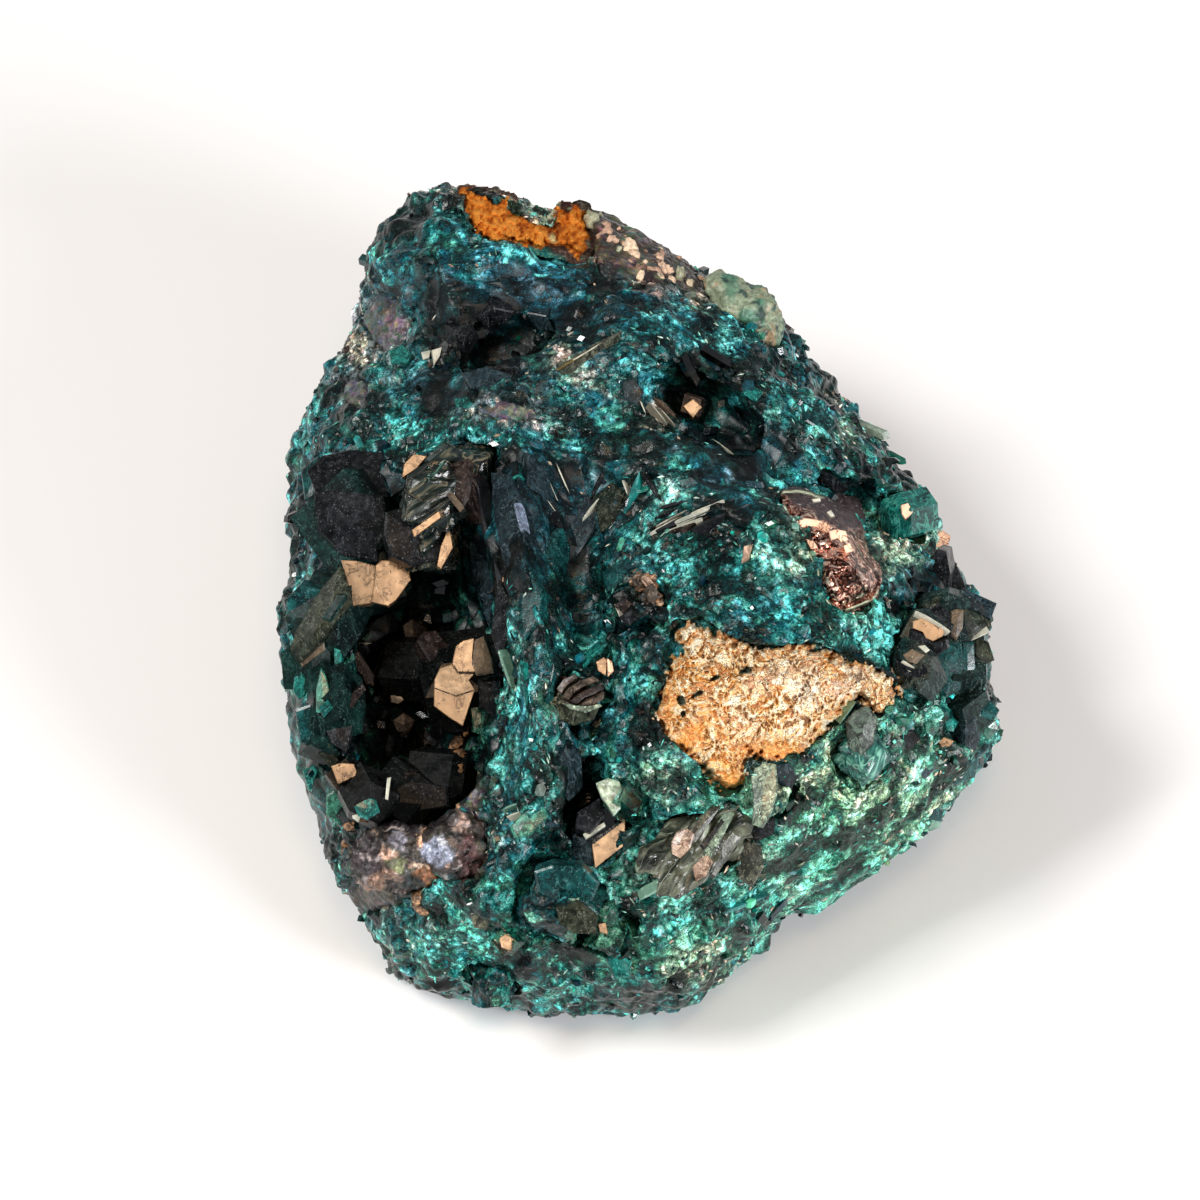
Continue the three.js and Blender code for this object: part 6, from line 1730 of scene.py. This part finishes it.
def prisms_from(kind, items, name):
    """Joined crystals, each a many-sided prism with its face in a plane of its own."""
    verts, faces, sizes = [], [], []
    for way, lift, deep, corners, front in items:
        C = np.asarray(corners, float)
        if 0.5 * np.sum(C[:, 0] * np.roll(C[:, 1], -1) - np.roll(C[:, 0], -1) * C[:, 1]) > 0:
            C = C[::-1]
        c = C.mean(0)
        ring = np.concatenate([[c], c + (C - c) * 0.55])
        ring = np.concatenate([ring, c + (C - c) * 0.85, c + (C - c) * 0.28])
        D = depth_at(ring[:, 0], ring[:, 1])
        if np.isnan(D).all():
            continue
        if way is None:
            # lie on the rock: the plane that fits what is under the outline
            good = ~np.isnan(D)
            X = from_chart(ring[good, 0], ring[good, 1], D[good])
            mid = X.mean(0)
            n = np.linalg.svd(X - mid)[2][2] if good.sum() > 5 else OUT
            n = n if n @ OUT > 0 else -n
            tilt = n - OUT * (n @ OUT)
            n = OUT * max(n @ OUT, 0.72) + tilt * min(1.0, 0.69 / (np.linalg.norm(tilt) + 1e-9))
            n = n / np.linalg.norm(n) + 0.05 * (RIGHT * rng.normal() + UP * rng.normal())
            n /= np.linalg.norm(n)
            mid_point = mid + n * (np.percentile((X - mid) @ n, 62) + lift - 0.12)
        else:
            n = facing(*way)
            deepest = np.nanpercentile(D, 90) if front else np.nanmedian(D)
            mid_point = from_chart(c[0:1], c[1:2], [deepest + lift])[0]
        eye = place
        rays = from_chart(C[:, 0], C[:, 1], np.zeros(len(C))) - eye
        t = ((mid_point - eye) @ n) / (rays @ n)
        top = eye + rays * t[:, None]
        centre = top.mean(0)
        low = centre + (top - centre) * 0.92 - n * deep
        spread_ = top - centre
        size = np.linalg.norm(spread_, axis=1).mean()
        bevel = min(0.05 if kind in ("gold", "gold2") else 0.16, 0.12 * size)
        outer = top - n * bevel * 0.6
        inner = centre + spread_ * (1 - bevel / size)
        m = len(C)
        # the long way of the outline, for a low ridge along it
        vals, vecs = np.linalg.eigh(spread_.T @ spread_)
        axis = vecs[:, 2]
        slim = math.sqrt(max(vals[1], 1e-9) / max(vals[2], 1e-9))
        rise = 0.0 if kind in ("gold", "gold2", "shine") else 0.10 * math.sqrt(max(vals[1], 0) / m)
        reach_ = 0.45 * (1 - slim) * np.abs(spread_ @ axis).max()
        if kind in ("gold", "gold2", "shine"):
            ridge = np.zeros((0, 3))
        else:
            skew = (rng.random(2) - 0.5) * 0.3 * bevel / 0.16
            sideways = np.cross(n, axis) * size * skew[0]
            ridge = np.stack([centre - axis * reach_ + n * rise + sideways, centre + axis * reach_ + n * rise + sideways])
        base = sum(len(v) for v in verts)
        verts.append(np.concatenate([outer, inner, low, ridge]))
        ids_out, ids_in, ids_low = base, base + m, base + 2 * m
        if len(ridge):
            near = [int((p_ - centre) @ axis > 0) for p_ in inner]
            for i in range(m):
                j = (i + 1) % m
                if near[i] == near[j]:
                    faces += [ids_in + i, ids_in + j, base + 3 * m + near[i]]
                    sizes.append(3)
                else:
                    faces += [ids_in + i, ids_in + j, base + 3 * m + near[j], base + 3 * m + near[i]]
                    sizes.append(4)
        else:
            faces += [ids_in + i for i in range(m)]
            sizes.append(m)
        faces += [ids_low + i for i in reversed(range(m))]
        sizes.append(m)
        for i in range(m):
            j = (i + 1) % m
            faces += [ids_out + i, ids_out + j, ids_in + j, ids_in + i]
            sizes.append(4)
            faces += [ids_out + j, ids_out + i, ids_low + i, ids_low + j]
            sizes.append(4)
    if not verts:
        return None
    V = np.concatenate(verts)
    V[:, 2] = np.maximum(V[:, 2], 0.05)
    ob = new_object(name, V, faces, sizes)
    ob.data.materials.append(FACET_MATERIALS[kind])
    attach(ob, "root")
    return ob


rng = np.random.default_rng(77)
by_kind = {}
for kind, way, lift, deep, corners in FACETS:
    by_kind.setdefault(kind, []).append((way, lift, deep, corners, kind in ("gold", "gold2", "olive2", "charcoal", "grey", "brown", "moss")))
for kind, p, q, width, lift in BLADES:
    p, q = np.array(p, float), np.array(q, float)
    u = (q - p) / np.linalg.norm(q - p)
    v = np.array([-u[1], u[0]]) * width * (0.30 if kind in ("pale", "milk", "peach") else 0.38)
    long = np.linalg.norm(q - p)
    corners = [p + v * 0.5, p + u * long * 0.25 + v, q - u * long * 0.2 + v * 0.9, q, q - u * long * 0.25 - v * 0.7, p + u * long * 0.2 - v * 0.9]
    by_kind.setdefault(kind, []).append((None, lift - 0.05, 0.5 + width / 15, corners, False))
for kind, items in by_kind.items():
    prisms_from(kind, items, f"facets_{kind}")

# ------------------------------------------------------------------ crumbs in the bare rock
def crumbs(name, spots, material, seed):
    """Rounded grains, each x, y, half-width and half-height in px on the chart, joined in one mesh."""
    bm = bmesh.new()
    bmesh.ops.create_icosphere(bm, subdivisions=3, radius=1.0)
    B0 = np.array([v.co for v in bm.verts])
    F0 = np.array([[v.index for v in f.verts] for f in bm.faces])
    bm.free()
    rng = np.random.default_rng(seed)
    spots = np.array(spots, float)
    D = depth_at(spots[:, 0], spots[:, 1])
    verts, faces, tones = [], [], []
    for (x0, y0, rx, ry), dd in zip(spots, D):
        if np.isnan(dd):
            continue
        c = from_chart(np.array([x0]), np.array([y0]), np.array([dd - 0.42]))[0]
        turn = rng.uniform(0, np.pi)
        S = B0 * np.array([rx, ry, 0.9 * min(rx, ry)]) * 1.25 / 15
        S = S * (1 + 0.42 * noise(B0 * 1.0 + rng.uniform(0, 90, 3), 0.7, 901) + 0.24 * noise(B0 + rng.uniform(0, 90, 3), 0.3, 902))[:, None]
        S = np.stack([S[:, 0] * np.cos(turn) - S[:, 1] * np.sin(turn), S[:, 0] * np.sin(turn) + S[:, 1] * np.cos(turn), S[:, 2]], 1)
        Q = c + S[:, :1] * RIGHT + S[:, 1:2] * UP + S[:, 2:] * OUT
        faces.append(F0 + sum(len(v) for v in verts))
        verts.append(Q)
        tones.append(np.full(len(Q), rng.uniform(0, 1)))
    ob = new_object(name, np.concatenate(verts), np.concatenate(faces).ravel(), np.full(sum(len(f) for f in faces), 3))
    paint(ob.data, "grain_tone", np.concatenate(tones))
    ob.data.polygons.foreach_set("use_smooth", np.ones(len(ob.data.polygons), bool))
    ob.data.materials.append(material)
    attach(ob, "root")
    return ob


k_ = Nodes("rock_crumbs")
g_in = k_.attribute("grain_tone")
fine_n = k_.noise(0.25, 3, 0.65)
base = k_.ramp(g_in, [(0.0, (0.22, 0.13, 0.09)), (0.35, (0.56, 0.36, 0.25)), (0.65, (0.72, 0.54, 0.38)), (1.0, (0.32, 0.34, 0.23))])
k_.set(Base_Color=k_.mix(1.0, base, k_.ramp(fine_n, [(0.30, 0.45), (0.58, 1.15)]), "MULTIPLY"), Roughness=0.5, IOR=1.5)
k_.set(Normal=k_.bump(fine_n, 0.5, 0.07))
rngc = np.random.default_rng(55)
SPOTS = [(582, 210, 4, 3), (592, 221, 8, 6), (605, 234, 7, 5), (611, 241, 5, 5), (629, 252, 9, 6), (634, 257, 6, 4), (658, 259, 6, 4),
         (663, 268, 5, 4), (654, 272, 8, 4), (638, 269, 6, 3), (627, 263, 5, 3), (680, 275, 7, 3), (672, 280, 4, 3), (606, 226, 4, 4), (600, 218, 4, 3),
         (645, 265, 4, 3), (690, 284, 4, 3), (622, 245, 4, 3), (640, 276, 5, 3)]
for _ in range(22):
    t = rngc.uniform(0, 1)
    SPOTS.append((585 + 115 * t + rngc.normal(0, 5), 222 + 58 * t + rngc.normal(0, 7), rngc.uniform(1.4, 4.2), rngc.uniform(1.2, 2.8)))
crumbs("rock_crumbs", SPOTS, k_.mat, 56)

k_ = Nodes("lip_crumbs")
g_in = k_.attribute("grain_tone")
fine_n = k_.noise(0.25, 3, 0.65)
base = k_.ramp(g_in, [(0.0, (0.16, 0.070, 0.026)), (0.5, (0.34, 0.17, 0.075)), (1.0, (0.60, 0.38, 0.22))])
base = k_.mix(k_.ramp(k_.noise(0.5, 3, 0.6, 1.0), [(0.44, 0.85), (0.56, 0.0)]), base, (0.035, 0.018, 0.012))
k_.set(Base_Color=k_.mix(1.0, base, k_.ramp(fine_n, [(0.32, 0.35), (0.58, 1.15)]), "MULTIPLY"), Roughness=0.4, IOR=1.5)
k_.set(Normal=k_.bump(fine_n, 0.6, 0.08))
crumbs("lip_crumbs", [(419, 897, 4.5, 6), (421, 910, 4, 7), (416, 886, 4, 5), (421, 841, 5.5, 5.5), (398, 806, 5, 4), (360, 818, 3, 7), (388, 852, 8, 4), (425, 866, 7, 4), (462, 816, 3, 8), (356, 866, 4, 3), (458, 742, 4, 8), (460, 756, 5, 6), (457, 770, 5, 6), (465, 730, 3, 6), (346, 842, 3, 8), (352, 826, 3, 6)], k_.mat, 57)
crumbs("ledge_crumbs", [(637, 574, 5, 4), (645, 580, 5, 5), (651, 587, 5, 4), (655, 595, 4, 5), (648, 598, 4, 3), (641, 586, 4, 4), (658, 603, 3, 4), (633, 581, 3, 3), (646, 590, 3, 3), (652, 578, 3, 3)], k_.mat, 58)

# ------------------------------------------------------------------ CAD crystals
EDGE_DARK = plate_gem("crystal_edge", (0.0130, 0.0270, 0.0240), (0.0030, 0.0090, 0.0090), 0.26, 0.14)
VUG_LEFT = plate_gem("crystal_vug_left", (0.0045, 0.0230, 0.0200), (0.0025, 0.0060, 0.0058), 0.34, 0.07, wear=0.8)
CORNER = plate_gem("crystal_corner", (0.0080, 0.1050, 0.0880), (0.0020, 0.0260, 0.0270), 0.18, 0.4, strokes=(0.05, 0.26, 0.21), grain=1.6)
VUG_DARK = plate_gem("crystal_vug_dark", (0.0062, 0.0072, 0.0068), (0.0015, 0.0024, 0.0024), 0.26, 0.08, wear=0.5)
def layered_material(name, dark, low, high, pale, size=0.5, veins=1.4):
    """A crystal built of thin wavy layers drawn out along its grain."""
    k = Nodes(name)
    rest = k.attribute("rest", "Vector")
    lines = k.noise(size, 3, 0.6, 0.5, rest)
    base = k.ramp(lines, [(0.36, dark), (0.45, low), (0.58, high), (0.70, pale)])
    vein = k.ramp(k.noise(veins, 2, 0.5, 1.2, rest), [(0.482, 0.0), (0.493, 0.9), (0.503, 0.9), (0.514, 0.0)])
    base = k.mix(vein, base, pale)
    k.set(Base_Color=base, IOR=1.66)
    k.bsdf.inputs["Specular IOR Level"].default_value = 0.30
    k.set(Roughness=k.ramp(lines, [(0.35, 0.16), (0.65, 0.36)]))
    n1 = k.bump(lines, 0.5, 0.08)
    k.set(Normal=k.bump(k.noise(0.2, 3, 0.65), 0.25, 0.04, n1))
    return k.mat


def layered_lump(node, shrink, deg, ripple, material, seed, size=0.9, facets=0.5):
    ob = remeshed(f"{node}_skin", [node], 0.13, relax=5)
    P = coords(ob.data)
    N = normals(ob.data)
    v = math.cos(math.radians(deg)) * RIGHT - math.sin(math.radians(deg)) * UP
    bend = P + 0.25 * np.stack([noise(P, 2.0, seed + 20 + i) for i in range(3)], 1)
    rest = bend - np.outer(0.88 * ((bend - bend.mean(0)) @ v), v)
    one, who1, crest1, seam1 = intergrown(P, 1.7, seed, np.tile(v, (len(P), 1)), 0.6)
    lift = -shrink + ripple * ridged(rest, size, seed + 1) + 0.10 * noise(rest, 0.35, seed + 2) + facets * one + hugging(P, shrink)
    set_coords(ob.data, P + N * lift[:, None])
    paint(ob.data, "rest", rest * MM)
    ob.data.materials.append(material)
    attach(ob, "root")
    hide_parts(node)


def druse_lump(node, shrink, gain):
    """A CAD crystal overgrown with the same druse as the rock."""
    ob = remeshed(f"{node}_skin", [node], 0.14, relax=4)
    P = coords(ob.data)
    N = normals(ob.data)
    x, y, d = chart(P)
    W, B = zone_weights(P, x, y)
    one, who1, crest1, seam1 = intergrown(P + 0.2 * np.stack([noise(P, 1.1, 931 + i) for i in range(3)], 1), 1.25, 934)
    two, who2, crest2, seam2 = intergrown(P, 0.6, 937)
    lift = -shrink + 0.70 * one + 0.22 * two + hugging(P, shrink)
    set_coords(ob.data, P + N * lift[:, None])
    k = choose(W, chance(who1, 81) ** 1.25, chance(who1, 82))
    tone = 0.7 * TONES[k] + 0.3 * (W @ TONES)
    # painted shade in the crevices at the seams, and painted light and shade from SHADE
    tone *= (np.exp(0.8 * (chance(who2, 83) - 0.5)) * (0.12 + 0.88 * smooth(seam1 * 1.25, 0.0, 0.16)) * gain * shade_at(x, y))[:, None]
    # rim: a painted highlight along the crystal edges
    rim = np.exp(-crest1 * 1.25 / 0.05) * smooth(seam1, 0.02, 0.1)
    tone = tone * (1 + 1.6 * rim[:, None])
    paint(ob.data, "tone", np.clip(tone, 0.0008, 0.9))
    paint(ob.data, "soft", np.full(len(P), 0.5))
    ob.data.materials.append(COAT)
    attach(ob, "root")
    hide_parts(node)


druse_lump("foot_crystal_dark", 0.75, 0.55)
druse_lump("foot_crystal_right", 0.75, 0.75)
druse_lump("base_crystal", 0.45, 0.60)
druse_lump("trench_crystal", 0.62, 0.70)
druse_lump("ledge_crystal", 0.62, 0.42)
layered_lump("vug_crystals_upper", 0.50, -36, 0.22, layered_material("layered_ink", (0.002, 0.003, 0.003), (0.005, 0.010, 0.009), (0.014, 0.026, 0.022), (0.14, 0.125, 0.08), 0.45, 2.4), 971)
layered_lump("dome_crystal_right", 0.40, -72, 0.18, layered_material("layered_moss", (0.004, 0.020, 0.020), (0.012, 0.062, 0.056), (0.030, 0.150, 0.120), (0.18, 0.44, 0.34), 0.45, 2.0), 981)
layered_lump("prism_bundle", 0.35, -55, 0.30, layered_material("layered_khaki", (0.006, 0.008, 0.006), (0.030, 0.036, 0.026), (0.095, 0.100, 0.068), (0.22, 0.27, 0.20), 0.5, 1.8), 991)
druse_lump("dome_crystal_left", 0.40, 0.85)
COATS = {
    "edge_crystals": EDGE_DARK,
    "corner_crystal": CORNER,
    "vug_crystals_left": VUG_LEFT,
    "vug_crystals_right": VUG_DARK,
    "vug_crystals_floor": VUG_DARK,
    "small_vug_crystal": PLATE_UMBER,
    "pale_crystal": GEM_TEAL,
}
for n in others:
    ob = NODES[n]
    ob.data.materials.clear()
    ob.data.materials.append(COATS.get(n, GEM_DEEP))


def thin(name, ratio):
    """Fewer triangles where the facets are flat; the edges between crystals stay."""
    ob = bpy.data.objects[name]
    mod = ob.modifiers.new("thin", "DECIMATE")
    mod.ratio = ratio
    graph = bpy.context.evaluated_depsgraph_get()
    graph.update()
    me = bpy.data.meshes.new_from_object(ob.evaluated_get(graph), preserve_all_data_layers=True, depsgraph=graph)
    ob.modifiers.clear()
    old = ob.data
    ob.data = me
    me.name = name
    bpy.data.meshes.remove(old)


for n, ratio in (("druse_coat_a", 0.72), ("druse_coat_b", 0.72), ("druse_coat_c", 0.72), ("matrix_skin", 0.50)):
    thin(n, ratio)
